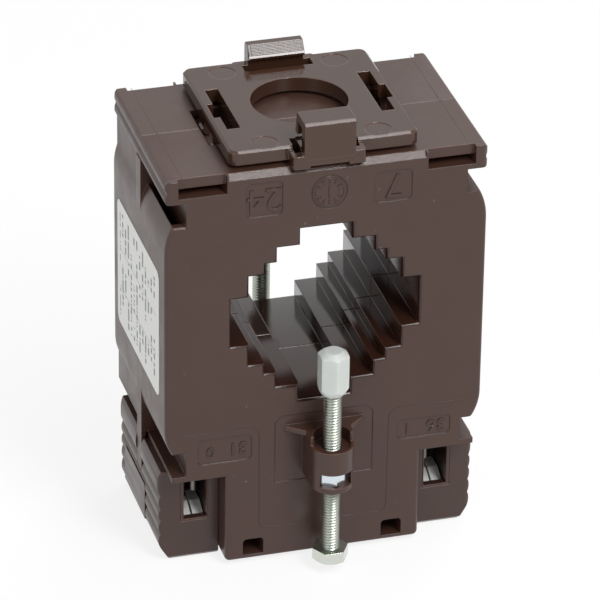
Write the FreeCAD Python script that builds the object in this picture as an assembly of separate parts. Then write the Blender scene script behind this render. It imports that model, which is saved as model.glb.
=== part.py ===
"""Window-type current transformer: two-part housing, terminals, rail adapter and bar clamps."""
import FreeCAD
import Part
import math
import os

V = FreeCAD.Vector

# Core stack, all in mm. +X right, +Y to the rear, +Z up, origin under the middle of the base
aperture_steps = [5.7, 10.75, 13.35, 16.9, 20.85]
sleeve_wall = 1.6
sleeve_clearance = 0.32
winding_build = 1.4
winding_gap = 0.1
wrap_gap = 0.1
wrap_wall = 0.4
winding_clearance = 0.3
winding_sectors = 24
winding_fill_deg = 14.0
core_build = 5.2
face_wall = 2.0
depth = 45.0
half_depth = depth / 2
sleeve_reach = math.hypot(aperture_steps[4] + sleeve_wall, aperture_steps[0] + sleeve_wall)
winding_inner_r = sleeve_reach + sleeve_clearance
core_spare = winding_gap + wrap_wall + wrap_gap
core_inner_r = winding_inner_r + winding_build + core_spare
core_outer_r = core_inner_r + core_build
winding_outer_r = core_outer_r + core_spare + winding_build
winding_half_y = half_depth - face_wall - winding_clearance
core_half_y = winding_half_y - winding_build - core_spare

# Housing: widths follow the winding
side_wall = 2.07
cavity_side = winding_outer_r + winding_clearance
side_x = cavity_side + side_wall
block_x = side_x - 13.5
notch_x = side_x - 4.65
rear_side_x = side_x - 0.95
lip_x = side_x - 1.5
flange_x = side_x - 0.55
bead_out = 0.45
flange_corner_r = 1.4
edge_round = 1.2
block_wall = 1.6
neck_wall = 1.6

# Housing: heights, from the base up to the top of the flange
block_low = 1.05
block_top = 23.05
lip_top = block_top + 1.3
cavity_low = block_top + 2.9
aperture_z = cavity_low + 1.6 + winding_outer_r
low_notch_top = lip_top + 5.5
low_arc_z = low_notch_top + 6.1
low_arc_r = 12.0
low_channel_top = low_notch_top + 8.2
high_notch_low = aperture_z + 24.95
high_arc_z = high_notch_low - 6.7
high_arc_r = 14.0
high_channel_low = high_notch_low - 7.7
cavity_roof = aperture_z + winding_outer_r + 0.85
flange_top = cavity_roof + 1.8
flange_low = flange_top - 5.3

# Cavity of the housing
cavity_neck_front = notch_x - neck_wall
cavity_neck_rear = rear_side_x - side_wall
cavity_step_low = low_channel_top + neck_wall
cavity_step_high = high_channel_low - neck_wall
cavity_shoulder = flange_low - 0.4
cavity_window_roof = flange_top - 5.1
cavity_roof_x = 13.4
cavity_window_x = 20.4

# Mouth of the opening and the joint line
mouth_round = 1.2
rear_mouth_round = 0.85
parting_groove = 0.18

# Channels in the sides of the front half
channel_skin_x = side_x - 1.9
channel_front = half_depth - 1.8
channel_rear = 1.6

# Bar at mid-depth on each side
bar_front = 1.6
bar_rear = 2.0
bar_low = block_top - 8.4
bar_overlap = 0.4

# Flange details
pocket_x0 = 22.0
pocket_x1 = flange_x - 2.4
pocket_z0 = flange_low + 1.2
pocket_z1 = pocket_z0 + 1.7
pocket_depth = 12.5
pocket_setback = 1.5
front_chamfer_x = 21.6
front_chamfer = 1.3
window_x0 = 15.0
window_x1 = 22.05
window_front = 8.1
window_rear = 8.7
window_depth = 3.5

# Details of the front and rear faces
panel_x = 11.0
panel_top = 36.35
panel_cut = 1.5
panel_low = 19.8
panel_depth = 0.15
foot_x0 = 13.4
foot_x1 = 18.0
foot_z0 = 2.25
foot_z1 = 6.2
foot_depth = 6.0
foot_wall = 1.2
foot_round = 0.9

# Sunken fields for marks on the front face: middle across, middle height, width, height
field_depth = 0.22
field_round = 1.1
fields = [(-13.9, 89.9, 8.0, 8.0), (14.4, 89.45, 8.3, 7.3), (-22.2, 29.8, 12.0, 6.2), (22.6, 28.85, 12.1, 4.7)]
dial_x = 0.3
dial_z = 89.9
dial_r = 4.0
dial_groove = 0.3
dial_depth = 0.15

# Clamp boss, given at the front; the rear one is the same, turned half round
boss_reach = 6.2
boss_y = -(half_depth + boss_reach)
boss_r = 4.75
boss_low = 21.7
boss_top = boss_low + 10.05
wing_top = boss_low + 12.25
cup_r = 4.1
cup_floor = boss_low + 9.25
gusset_x = 9.0
gusset_mid_x = 5.0
gusset_mid_y = -(half_depth + 3.4)
gusset_thick = 1.2
slot_floor = boss_low + 1.2
slot_roof = slot_floor + 3.3
slot_half = 3.55
slot_end_gap = 0.1
screw_hole_r = 2.15

# Clamp screw, nut and nylon cap
screw_r = 2.0
screw_length = 45.0
screw_tip = 0.6
head_af = 7.0
head_height = 2.8
head_bevel = 0.64
head_low = 2.85
nut_height = 3.2
nut_bore_r = screw_r + 0.05
nut_bevel = 0.3
cap_length = 10.4
cap_overhang = 4.2
cap_top = head_low + head_height + screw_length + cap_overhang
cap_low = cap_top - cap_length
cap_af = 6.1
cap_tip_r = 1.9
cap_tip = 1.15
cap_foot_r = 2.55
cap_foot = 1.8
cap_bore_clearance = 0.05
rear_screw_lift = 8.0

# Terminal covers, right-hand one; the left one is its mirror image
cover_x0 = block_x
cover_x1 = side_x
cover_cusp = 0.45
cover_half_y = 17.0
cover_low = 0.0
cover_top = block_top - 0.3
cover_wall = 1.7
cover_gap = 0.1
cover_corner_r = 1.3
cover_end_chamfer = 0.9
cover_chamfer_x = cover_x1 - 2.5
cover_chamfer_z = 3.3
cusp_heights = [6.85, 10.2, 13.3, 16.45]
first_crest_out = 0.3
cover_win_x0 = block_x + 2.75
cover_win_x1 = block_x + 7.95
cover_win_z0 = 10.1
cover_win_z1 = 20.0
seam_in = 0.42
seam_out = 0.8
seam_wide = 0.2
seam_depth = 0.15
flap_y0 = -4.3
flap_y1 = 13.5
flap_z0 = 2.25
flap_z1 = 12.15
flap_slit = 0.5
flap_root = 1.1
flap_set = 0.02
bar_slot_clearance = 0.3

# Terminals inside the covers
carrier_x0 = block_x
carrier_x1 = cover_x1 - cover_wall - 0.3
carrier_half_y = cover_half_y - cover_wall - 0.3
carrier_low = cover_low + cover_wall + 0.3
carrier_top = block_top
chamber_x0 = cover_win_x0 - 0.2
chamber_x1 = cover_win_x1 + 0.2
chamber_z1 = cover_win_z1 + 0.2
chamber_y0 = 6.8
contact_z0 = cover_win_z0
tongue_z0 = contact_z0 - 2.0
tongue_y = 10.9
contact_thick = 0.8
contact_half_y = carrier_half_y - 0.4
contact_width = 2.35
contact_fit = 0.05
contact_xs = [chamber_x0 + 0.25, chamber_x0 + 3.0]
saddle_thick = 1.4
saddle_z0 = chamber_z1 - 0.5 - saddle_thick
saddle_y0 = carrier_half_y - 6.8
saddle_y1 = carrier_half_y - 1.4
saddle_side = 0.7
saddle_fit = 0.1
terminal_screw_r = 1.5
terminal_screw_y = (saddle_y0 + saddle_y1) / 2
terminal_screw_low = 14.2
terminal_screw_x = (chamber_x0 + chamber_x1) / 2 - 0.9

# Leads from the winding to the contact plates
lead_r = 0.6
lead_hole_r = 0.9
lead_x = 15.0
lead_z = contact_z0 + contact_thick / 2
lead_top = aperture_z - math.sqrt(winding_outer_r ** 2 - lead_x ** 2) - 0.2

# Rail adapter, from its underside up
plate_x = 20.7
plate_y0 = -19.9
plate_y1 = 20.8
plate_lift = 0.8
plate_thick = 3.2
plate_low = flange_top + plate_lift
plate_top = plate_low + plate_thick
plate_corner_r = 2.0
plate_bevel = 0.5
plate_hole_r = 10.5
plate_hole_y = 0.2
plate_slot_x0 = 15.55
plate_slot_x1 = 18.45
plate_slot_y0 = -9.2
plate_slot_y1 = 9.5
plate_notch_x = 19.8
plate_notch_y0 = -3.5
plate_notch_y1 = 2.8
mark_r = 2.9
mark_depth = 0.12
mark_places = [(12.6, 16.5), (12.4, -16.9)]
hook_x = 5.6
hook_front = plate_y0 - 3.8
hook_wall_y = hook_front + 2.4
hook_leg_y = hook_front + 5.8
hook_rear_top = hook_front + 6.4
hook_rear_low = hook_front + 7.4
hook_top = plate_top + 6.6
hook_crown = 1.9
hook_leg_low = plate_top + 1.6
hook_edge = 0.5
hook_edge_rear = 0.3
tab_x = 8.0
tab_front = hook_front + 0.1
tab_low = flange_top + 0.1
tab_top = tab_low + 3.0
tab_corner_r = 0.8
tab_relief_x = 4.3
tab_relief = 0.6
tab_slit_x0 = 5.45
tab_slit_x1 = 7.1
tab_slit_y0 = hook_front + 2.2
tab_slit_y1 = hook_front + 7.2
rear_hook_x = 6.2
rear_slot_x = 7.6
rear_slot_y1 = plate_y1 - 1.9
rear_slot_y0 = rear_slot_y1 - 3.1
rear_hook_back = rear_slot_y1 + 3.1
rear_hook_top = plate_top + 4.35
rear_nose_y = rear_slot_y1 - 1.3
rear_ramp_y0 = rear_nose_y + 0.38
rear_ramp_z0 = plate_top + 2.35
rear_ramp_y1 = rear_nose_y + 2.0
rear_edge = 0.6
ramp_rib_count = 8
ramp_rib_margin = 0.65
leg_x0 = 19.0
leg_x1 = 20.2
leg_low = flange_top - window_depth + 0.3
leg_root = plate_low + 0.2
leg_spans = [(-7.8, plate_notch_y0 - 0.2), (plate_notch_y1 + 0.2, 8.0)]
barb = 0.7
pad_r = 1.6
pad_x = 14.0
pad_ys = [plate_y0 + 4.1, plate_y1 - 5.3]

# Rating label on the left side
label_y0 = -17.6
label_y1 = 18.5
label_z0 = aperture_z - 18.7
label_z1 = aperture_z + 11.8
label_corner_r = 2.0
label_thick = 0.1


# Basic shapes

def box(x0, x1, y0, y1, z0, z1):
    """Axis-aligned block between the given limits."""
    return Part.makeBox(x1 - x0, y1 - y0, z1 - z0, V(x0, y0, z0))


def rod(radius, x, y, z0, z1):
    """Upright cylinder."""
    return Part.makeCylinder(radius, z1 - z0, V(x, y, z0), V(0, 0, 1))


def ring_y(radius, y0, y1):
    """Cylinder along Y about the axis of the opening."""
    return Part.makeCylinder(radius, y1 - y0, V(0, y0, aperture_z), V(0, 1, 0))


def prism_y(points, y0, y1):
    """Outline given as (x, z) points, pushed along Y."""
    wire = Part.makePolygon([V(x, y0, z) for x, z in points + points[:1]])
    return Part.Face(wire).extrude(V(0, y1 - y0, 0))


def prism_x(points, x0, x1):
    """Outline given as (y, z) points, pushed along X."""
    wire = Part.makePolygon([V(x0, y, z) for y, z in points + points[:1]])
    return Part.Face(wire).extrude(V(x1 - x0, 0, 0))


def prism_z(points, z0, z1):
    """Outline given as (x, y) points, pushed along Z."""
    wire = Part.makePolygon([V(x, y, z0) for x, y in points + points[:1]])
    return Part.Face(wire).extrude(V(0, 0, z1 - z0))


def edges_face_y(edges, y0, y1):
    """Face from ordered edges in a plane of constant Y, pushed along Y."""
    wire = Part.Wire(edges)
    return Part.Face(wire).extrude(V(0, y1 - y0, 0))


def rounded_plan(x0, x1, y0, y1, z0, z1, radius):
    """Block with its four upright edges rounded."""
    block = box(x0, x1, y0, y1, z0, z1)
    upright = [e for e in block.Edges if abs(e.tangentAt(e.FirstParameter).z) > 0.99]
    return block.makeFillet(radius, upright)


def hexagon(across_flats, x, y, corner_along_y):
    """Corner points of a hexagon; a corner or a flat can face along Y."""
    radius = across_flats / math.sqrt(3)
    start = 90.0 if corner_along_y else 0.0
    angles = [math.radians(start + 60 * i) for i in range(6)]
    return [(x + radius * math.cos(a), y + radius * math.sin(a)) for a in angles]


def fuse(shapes):
    """One body from touching or overlapping shapes."""
    return shapes[0].multiFuse(shapes[1:]).removeSplitter()


def cut(shape, tools):
    """Shape with the tools taken away."""
    return shape.cut(tools[0].multiFuse(tools[1:]) if len(tools) > 1 else tools[0])


def mirror_x(shape):
    """Mirror image on the other side of the YZ plane."""
    return shape.mirror(V(0, 0, 0), V(1, 0, 0))


def turn_half(shape):
    """The same shape turned half round about Z."""
    turned = shape.copy()
    turned.rotate(V(0, 0, 0), V(0, 0, 1), 180)
    return turned


def both_sides(shape):
    """A shape and its mirror image."""
    return [shape, mirror_x(shape)]


# Housing

def stepped_outline(grow):
    """Outline of the stepped opening, grown outward by the given amount."""
    h = [step + grow for step in aperture_steps]
    quarter = [(h[0], h[4]), (h[0], h[3]), (h[1], h[3]), (h[1], h[2]), (h[2], h[2])]
    quarter += [(h[2], h[1]), (h[3], h[1]), (h[3], h[0]), (h[4], h[0])]
    lower = [(x, -z) for x, z in reversed(quarter)]
    right = quarter + lower
    left = [(-x, z) for x, z in reversed(right)]
    return [(x, z + aperture_z) for x, z in right + left]


def stepped_loft(stations):
    """Opening whose size changes along Y; stations are (y, grow) pairs, made of flat faces."""
    rings = []
    for y, grow in stations:
        rings.append([V(x, y, z) for x, z in stepped_outline(grow)])
    faces = [Part.Face(Part.makePolygon(ring + ring[:1])) for ring in (rings[0], rings[-1])]
    for near, far in zip(rings[:-1], rings[1:]):
        for i in range(len(near)):
            j = (i + 1) % len(near)
            faces.append(Part.Face(Part.makePolygon([near[i], near[j], far[j], far[i], near[i]])))
    return Part.Solid(Part.makeShell(faces))


def side_edges(y, sign, is_front):
    """Edges of one side of the outline, from the base middle up to the top middle."""
    def pt(x, z):
        return V(sign * x, y, z)

    def line(a, b):
        return Part.makeLine(pt(*a), pt(*b))

    def arc(a, b, c):
        return Part.Arc(pt(*a), pt(*b), pt(*c)).toShape()

    def on_arc(centre_z, radius, z):
        return side_x - radius + math.sqrt(radius ** 2 - (z - centre_z) ** 2)

    def height_on_arc(centre_z, radius, x, upward):
        rise = math.sqrt(radius ** 2 - (x - side_x + radius) ** 2)
        return centre_z + rise if upward else centre_z - rise

    neck = notch_x if is_front else rear_side_x
    if is_front:
        low = (on_arc(low_arc_z, low_arc_r, low_notch_top), low_notch_top)
        high = (on_arc(high_arc_z, high_arc_r, high_notch_low), high_notch_low)
    else:
        low = (neck, height_on_arc(low_arc_z, low_arc_r, neck, False))
        high = (neck, height_on_arc(high_arc_z, high_arc_r, neck, True))
    low_mid_z = (low[1] + low_arc_z) / 2
    high_mid_z = (high[1] + high_arc_z) / 2
    edges = [
        line((0, block_low), (block_x, block_low)),
        line((block_x, block_low), (block_x, block_top)),
        line((block_x, block_top), (lip_x, block_top)),
        line((lip_x, block_top), (lip_x, lip_top)),
        line((lip_x, lip_top), (neck, lip_top)),
    ]
    if is_front:
        edges.append(line((neck, lip_top), (neck, low_notch_top)))
        edges.append(line((neck, low_notch_top), low))
    else:
        edges.append(line((neck, lip_top), low))
    edges.append(arc(low, (on_arc(low_arc_z, low_arc_r, low_mid_z), low_mid_z), (side_x, low_arc_z)))
    edges.append(line((side_x, low_arc_z), (side_x, high_arc_z)))
    edges.append(arc((side_x, high_arc_z), (on_arc(high_arc_z, high_arc_r, high_mid_z), high_mid_z), high))
    if is_front:
        edges.append(line(high, (neck, high_notch_low)))
        edges.append(line((neck, high_notch_low), (neck, flange_low)))
    else:
        edges.append(line(high, (neck, flange_low)))
    edges.append(line((neck, flange_low), (0, flange_low)))
    return edges


def body_block(is_front):
    """Solid body below the flange, in the front position."""
    right = side_edges(-half_depth, 1, is_front)
    left = side_edges(-half_depth, -1, is_front)
    left = [Part.makeLine(e.Vertexes[1].Point, e.Vertexes[0].Point) if e.Curve.TypeId == "Part::GeomLine" else e
            for e in reversed(left)]
    wire = Part.Wire(Part.__sortEdges__(right + left))
    return Part.Face(wire).extrude(V(0, half_depth, 0))


def flange_block():
    """Flange with two beads on each side and rounded outer corners, front position."""
    def pt(x, z):
        return V(x, -half_depth, z)

    bead_split = flange_low + 2.1
    groove_top = flange_low + 2.9
    low_crest = (flange_low + bead_split) / 2
    high_crest = (groove_top + flange_top) / 2
    edges = []
    for sign in (1, -1):
        edges.append(Part.makeLine(pt(0, flange_low), pt(sign * flange_x, flange_low)))
        edges.append(Part.Arc(pt(sign * flange_x, flange_low), pt(sign * (flange_x + bead_out), low_crest),
                              pt(sign * flange_x, bead_split)).toShape())
        edges.append(Part.makeLine(pt(sign * flange_x, bead_split), pt(sign * flange_x, groove_top)))
        edges.append(Part.Arc(pt(sign * flange_x, groove_top), pt(sign * (flange_x + bead_out), high_crest),
                              pt(sign * (flange_x - 0.3), flange_top)).toShape())
        edges.append(Part.makeLine(pt(sign * (flange_x - 0.3), flange_top), pt(0, flange_top)))
    wire = Part.Wire(Part.__sortEdges__(edges))
    flange = Part.Face(wire).extrude(V(0, half_depth, 0))
    limit = flange_x + bead_out
    plan = box(-limit, limit, -half_depth, 0, flange_low - 1, flange_top + 1)
    corners = [e for e in plan.Edges if abs(e.tangentAt(e.FirstParameter).z) > 0.99
               and e.BoundBox.YMax < -half_depth + 0.01]
    return flange.common(plan.makeFillet(flange_corner_r, corners))


def cavity(is_front):
    """Space inside one half, front position."""
    neck = cavity_neck_front if is_front else cavity_neck_rear
    inner_x = block_x - block_wall
    right = [
        (inner_x, block_low + block_wall),
        (inner_x, cavity_low),
        (neck, cavity_low),
        (neck, cavity_step_low),
        (cavity_side, cavity_step_low),
        (cavity_side, cavity_step_high),
        (neck, cavity_step_high),
        (neck, cavity_shoulder),
        (cavity_window_x, cavity_shoulder),
        (cavity_window_x, cavity_window_roof),
        (cavity_roof_x, cavity_window_roof),
        (cavity_roof_x, cavity_roof),
    ]
    left = [(-x, z) for x, z in reversed(right)]
    return prism_y(right + left, -half_depth + face_wall, 0)


def side_channels():
    """Deep channels behind the front skin: below both side bulges, and above the left one."""
    high = box(notch_x, channel_skin_x, -channel_front, -channel_rear, high_channel_low, high_notch_low + 1)
    low = box(notch_x, channel_skin_x, -channel_front, -channel_rear, low_notch_top - 1, low_channel_top)
    return [mirror_x(high)] + both_sides(low)


def mid_bars(is_front):
    """Bars at mid-depth on both sides, hanging below the lip, front position."""
    reach = bar_front if is_front else bar_rear
    inner = (notch_x if is_front else rear_side_x) - bar_overlap
    upper = box(inner, side_x, -reach, 0, lip_top - 0.3, flange_low + 0.3)
    tongue = box(rear_side_x, side_x, -reach, 0, bar_low, lip_top)
    return both_sides(upper) + both_sides(tongue)


def face_cuts():
    """Shallow panel and the two small pockets near the base."""
    panel = [(panel_x, panel_low), (panel_x, panel_top - panel_cut), (panel_x - panel_cut, panel_top)]
    panel += [(-x, z) for x, z in reversed(panel)]
    cuts = [prism_y(panel, -half_depth - 1, -half_depth + panel_depth)]
    pocket = box(foot_x0, foot_x1, -half_depth - 1, -half_depth + foot_depth, foot_z0, foot_z1)
    crown = [e for e in pocket.Edges if abs(e.tangentAt(e.FirstParameter).y) > 0.99
             and e.BoundBox.ZMin > foot_z1 - 0.01]
    return cuts + both_sides(pocket.makeFillet(foot_round, crown))


def mark_cuts():
    """Sunken fields for marks and the ring of the date dial, on the front half only."""
    front = -half_depth
    cuts = []
    for middle_x, middle_z, width, height in fields:
        field = box(middle_x - width / 2, middle_x + width / 2, front - 1, front + field_depth,
                    middle_z - height / 2, middle_z + height / 2)
        cuts.append(field.makeFillet(field_round, [e for e in field.Edges if along(e, "y")]))
    ring = Part.makeCylinder(dial_r, 1 + dial_depth, V(dial_x, front - 1, dial_z), V(0, 1, 0))
    cuts.append(ring.cut(Part.makeCylinder(dial_r - dial_groove, 2 + dial_depth, V(dial_x, front - 1.5, dial_z),
                                           V(0, 1, 0))))
    return cuts


def foot_boxes():
    """Material behind the small pockets near the base."""
    block = box(foot_x0 - foot_wall, foot_x1 + foot_wall, -half_depth + 1, -half_depth + foot_depth + foot_wall,
                block_low + 0.5, foot_z1 + foot_wall)
    return both_sides(block)


def flange_cuts(window_reach):
    """Pockets, set-back skin, front chamfer and the windows for the adapter's latches."""
    front = -half_depth
    pocket = box(pocket_x0, pocket_x1, front - 1, front + pocket_depth, pocket_z0, pocket_z1)
    setback = box(pocket_x0, pocket_x1, front - 1, front + pocket_setback, pocket_z0, flange_top + 1)
    window = box(window_x0, window_x1, -window_reach, 1, flange_top - window_depth, flange_top + 1)
    wedge = [(front - 1, flange_top - front_chamfer - 1), (front, flange_top - front_chamfer),
             (front + front_chamfer, flange_top), (front + front_chamfer, flange_top + 1),
             (front - 1, flange_top + 1)]
    chamfer = prism_x(wedge, -front_chamfer_x, front_chamfer_x)
    groove = prism_x([(-parting_groove, flange_top), (0.0, flange_top - parting_groove),
                      (1.0, flange_top - parting_groove), (1.0, flange_top + 1), (-parting_groove, flange_top + 1)],
                     -side_x - 1, side_x + 1)
    return both_sides(pocket) + both_sides(setback) + both_sides(window) + [chamfer, groove]


def boss():
    """Boss with a cup for the cap, a slot for the nut and a gusset, front position."""
    wall_y = -half_depth + 0.5
    body = fuse([
        box(-boss_r, boss_r, boss_y, wall_y, boss_low, wing_top),
        rod(boss_r, 0, boss_y, boss_low, boss_top),
    ])
    gusset = prism_z([(-gusset_x, wall_y), (-gusset_x, -half_depth), (-gusset_mid_x, gusset_mid_y),
                      (-boss_r, boss_y), (boss_r, boss_y), (gusset_mid_x, gusset_mid_y),
                      (gusset_x, -half_depth), (gusset_x, wall_y)], wing_top - gusset_thick, wing_top)
    return fuse([body, gusset])


def boss_cuts():
    """Cup, nut slot and screw hole of the boss, front position."""
    cup = rod(cup_r, 0, boss_y, cup_floor, wing_top + 1)
    slot_end = boss_y + head_af / math.sqrt(3) + slot_end_gap
    slot = box(-slot_half, slot_half, boss_y - boss_r - 1, slot_end, slot_floor, slot_roof)
    hole = rod(screw_hole_r, 0, boss_y, boss_low - 1, cup_floor + 1)
    return [cup, slot, hole]


def lead_holes():
    """Holes for the two leads through the sides of the block."""
    hole = Part.makeCylinder(lead_hole_r, 4.0, V(block_x - 3.0, 0, lead_z), V(1, 0, 0))
    return both_sides(hole)


def soften(shape, chosen, radius):
    """Round the chosen edges, or leave them sharp if the shape would not stay sound."""
    edges = [e for e in shape.Edges if chosen(e)]
    if not edges:
        return shape
    rounded = shape.makeFillet(radius, edges)
    return rounded if rounded.isValid() and len(rounded.Solids) == 1 else shape


def along(edge, axis):
    """Whether a straight edge runs along the given axis name."""
    if edge.Curve.TypeId != "Part::GeomLine":
        return False
    return abs(getattr(edge.tangentAt(edge.FirstParameter), axis)) > 0.99


def body_softened(body):
    """Body with its main outer edges rounded: block corners, base and the side bulges."""
    def base_side(e):
        box_ = e.BoundBox
        return along(e, "y") and box_.ZMax < block_low + 0.01 and abs(abs(box_.XMin) - block_x) < 0.01

    def face_outline(e):
        box_ = e.BoundBox
        if box_.YMax > -half_depth + 0.01:
            return False
        low_edge = box_.ZMax < block_low + 0.01
        upright = along(e, "z") and abs(abs(box_.XMin) - block_x) < 0.01
        bulge = (box_.ZMin > low_notch_top - 0.7 and box_.ZMax < high_notch_low + 0.01
                 and abs(box_.XMin) > notch_x + 1.8)
        return low_edge or upright or bulge

    return soften(soften(body, base_side, edge_round), face_outline, edge_round * 0.75)


def half_shell(is_front):
    """One half of the housing in the front position, with its boss."""
    body = body_softened(body_block(is_front))
    outer = fuse([body, flange_block()] + mid_bars(is_front))
    hollow = cut(outer, [cavity(is_front)])
    sleeve = prism_y(stepped_outline(sleeve_wall), -half_depth + 1, 0)
    solid = cut(fuse([hollow, sleeve] + foot_boxes()), face_cuts())
    solid = fuse([solid, boss()])
    mouth = mouth_round if is_front else rear_mouth_round
    front = -half_depth
    stations = [(front - 1, mouth + 1), (front, mouth), (front + 0.134 * mouth, 0.5 * mouth),
                (front + 0.5 * mouth, 0.134 * mouth), (front + mouth, 0.0), (-parting_groove, 0.0),
                (0.5, parting_groove + 0.5)]
    tools = [stepped_loft(stations)] + boss_cuts() + lead_holes()
    tools += flange_cuts(window_front if is_front else window_rear)
    if is_front:
        tools += side_channels() + mark_cuts()
    return cut(solid, tools)


# Clamp hardware, at the front with the given lift

def clamp_screw(lift):
    """Screw standing upright with its head at the bottom."""
    low = head_low + lift
    head = prism_z(hexagon(head_af, 0, boss_y, False), low, low + head_height)
    cone = Part.makeCone(head_af / 2 - 0.1, head_af / 2 + 1.0, head_bevel, V(0, boss_y, low), V(0, 0, 1))
    rest = rod(head_af, 0, boss_y, low + head_bevel, low + head_height)
    head = head.common(cone.fuse(rest))
    end = low + head_height + screw_length - screw_tip
    shank = rod(screw_r, 0, boss_y, low + head_height - 0.1, end)
    tip = Part.makeCone(screw_r, screw_r - screw_tip, screw_tip, V(0, boss_y, end), V(0, 0, 1))
    return fuse([head, shank, tip])


def nut():
    """Hexagon nut lying in the slot of the boss, two of its flats against the slot."""
    body = prism_z(hexagon(head_af, 0, boss_y, True), slot_floor, slot_floor + nut_height)
    corner = head_af / math.sqrt(3)
    drop = nut_bevel
    low = Part.makeCone(corner - drop * 1.7, corner, drop, V(0, boss_y, slot_floor), V(0, 0, 1))
    mid = rod(corner + 0.1, 0, boss_y, slot_floor + drop, slot_floor + nut_height - drop)
    high = Part.makeCone(corner, corner - drop * 1.7, drop, V(0, boss_y, slot_floor + nut_height - drop), V(0, 0, 1))
    body = body.common(low.fuse(mid).fuse(high))
    return body.cut(rod(nut_bore_r, 0, boss_y, slot_floor - 1, slot_floor + nut_height + 1))


def nylon_cap(lift):
    """Six-sided cap over the end of the screw, with tapered ends."""
    low = cap_low + lift
    top = cap_top + lift
    body = prism_z(hexagon(cap_af, 0, boss_y, True), low, top)
    wide = cap_af / math.sqrt(3) + 0.05
    lower = Part.makeCone(cap_foot_r, wide, cap_foot, V(0, boss_y, low), V(0, 0, 1))
    mid = rod(wide, 0, boss_y, low + cap_foot, top - cap_tip)
    upper = Part.makeCone(wide, cap_tip_r, cap_tip, V(0, boss_y, top - cap_tip), V(0, 0, 1))
    body = body.common(lower.fuse(mid).fuse(upper))
    screw_end = head_low + lift + head_height + screw_length
    bore = rod(screw_r + cap_bore_clearance, 0, boss_y, low - 1, screw_end + cap_bore_clearance)
    return body.cut(bore)


# Terminal covers and what they hold, right-hand side

def cover_profile():
    """Outer side of the cover seen along Y: a chamfered foot and a row of scallops."""
    cusp_x = cover_x1 - cover_cusp
    edges = []

    def pt(x, z):
        return V(x, -cover_half_y, z)

    edges.append(Part.makeLine(pt(cover_x0 + cover_gap, cover_low), pt(cover_chamfer_x, cover_low)))
    edges.append(Part.makeLine(pt(cover_chamfer_x, cover_low), pt(cusp_x, cover_chamfer_z)))
    heights = [cover_chamfer_z] + cusp_heights + [cover_top]
    for low, high in zip(heights[:-1], heights[1:]):
        crest = cover_x1 + (first_crest_out if high == cover_top else 0.0)
        edges.append(Part.Arc(pt(cusp_x, low), pt(crest, (low + high) / 2), pt(cusp_x, high)).toShape())
    edges.append(Part.makeLine(pt(cusp_x, cover_top), pt(cover_x0 + cover_gap, cover_top)))
    edges.append(Part.makeLine(pt(cover_x0 + cover_gap, cover_top), pt(cover_x0 + cover_gap, cover_low)))
    return Part.Wire(edges)


def terminal_cover():
    """Slide-on cover: front, outer side, rear and bottom walls, with wire windows and a latch flap."""
    outer = Part.Face(cover_profile()).extrude(V(0, 2 * cover_half_y, 0))
    limit = cover_x1 + first_crest_out
    plan = box(cover_x0 - 1, limit, -cover_half_y, cover_half_y, cover_low - 1, cover_top + 1)
    upright = [e for e in plan.Edges if along(e, "z") and e.BoundBox.XMin > limit - 0.01]
    outer = outer.common(plan.makeFillet(cover_corner_r, upright))
    edge = cover_end_chamfer
    ends = prism_x([(-cover_half_y, cover_low + edge), (-cover_half_y + edge, cover_low),
                    (cover_half_y - edge, cover_low), (cover_half_y, cover_low + edge),
                    (cover_half_y, cover_top), (-cover_half_y, cover_top)], cover_x0 - 1, cover_x1 + 1)
    outer = outer.common(ends)
    inside = box(cover_x0 - 1, cover_x1 - cover_wall, -cover_half_y + cover_wall, cover_half_y - cover_wall,
                 cover_low + cover_wall, cover_top + 1)
    flap = box(cover_x1 - cover_wall + 0.2, cover_x1 - flap_set, flap_y0, flap_y1, flap_z0, flap_z1)
    foot = prism_y([(cover_chamfer_x, cover_low), (cover_x1 + 1, cover_low), (cover_x1 + 1, cover_chamfer_z + 0.35),
                    (cover_x1 - 0.2, cover_chamfer_z + 0.15)], -cover_half_y, cover_half_y)
    body = fuse([outer, flap.cut(foot)])
    window_y = cover_half_y + 1
    seam = box(cover_win_x0 - seam_in, cover_win_x1 + seam_out, -window_y, window_y,
               cover_win_z0 - seam_in - seam_wide, cover_win_z1 + seam_out)
    seam = seam.cut(box(cover_win_x0 - seam_in + seam_wide, cover_win_x1 + seam_out - seam_wide, -window_y - 1,
                        window_y + 1, cover_win_z0 - seam_in, cover_win_z1 + seam_out - seam_wide))
    seam = seam.cut(box(cover_x0 - 1, cover_x1 + 1, -cover_half_y + seam_depth, cover_half_y - seam_depth,
                        cover_low - 1, cover_top + 1))
    tools = [
        seam,
        inside,
        box(cover_win_x0, cover_win_x1, -window_y, window_y, cover_win_z0, cover_win_z1),
        box(cover_x1 - 3, cover_x1 + 1, flap_y0 - flap_slit, flap_y1 - flap_root, flap_z1, flap_z1 + flap_slit),
        box(cover_x1 - 3, cover_x1 + 1, flap_y0 - flap_slit, flap_y0, flap_z0, flap_z1 + flap_slit),
        box(cover_x1 - 3, cover_x1 + 1, -bar_front - bar_slot_clearance, bar_rear + bar_slot_clearance,
            bar_low - bar_slot_clearance, cover_top + 1),
    ]
    return cut(body, tools)


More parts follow.
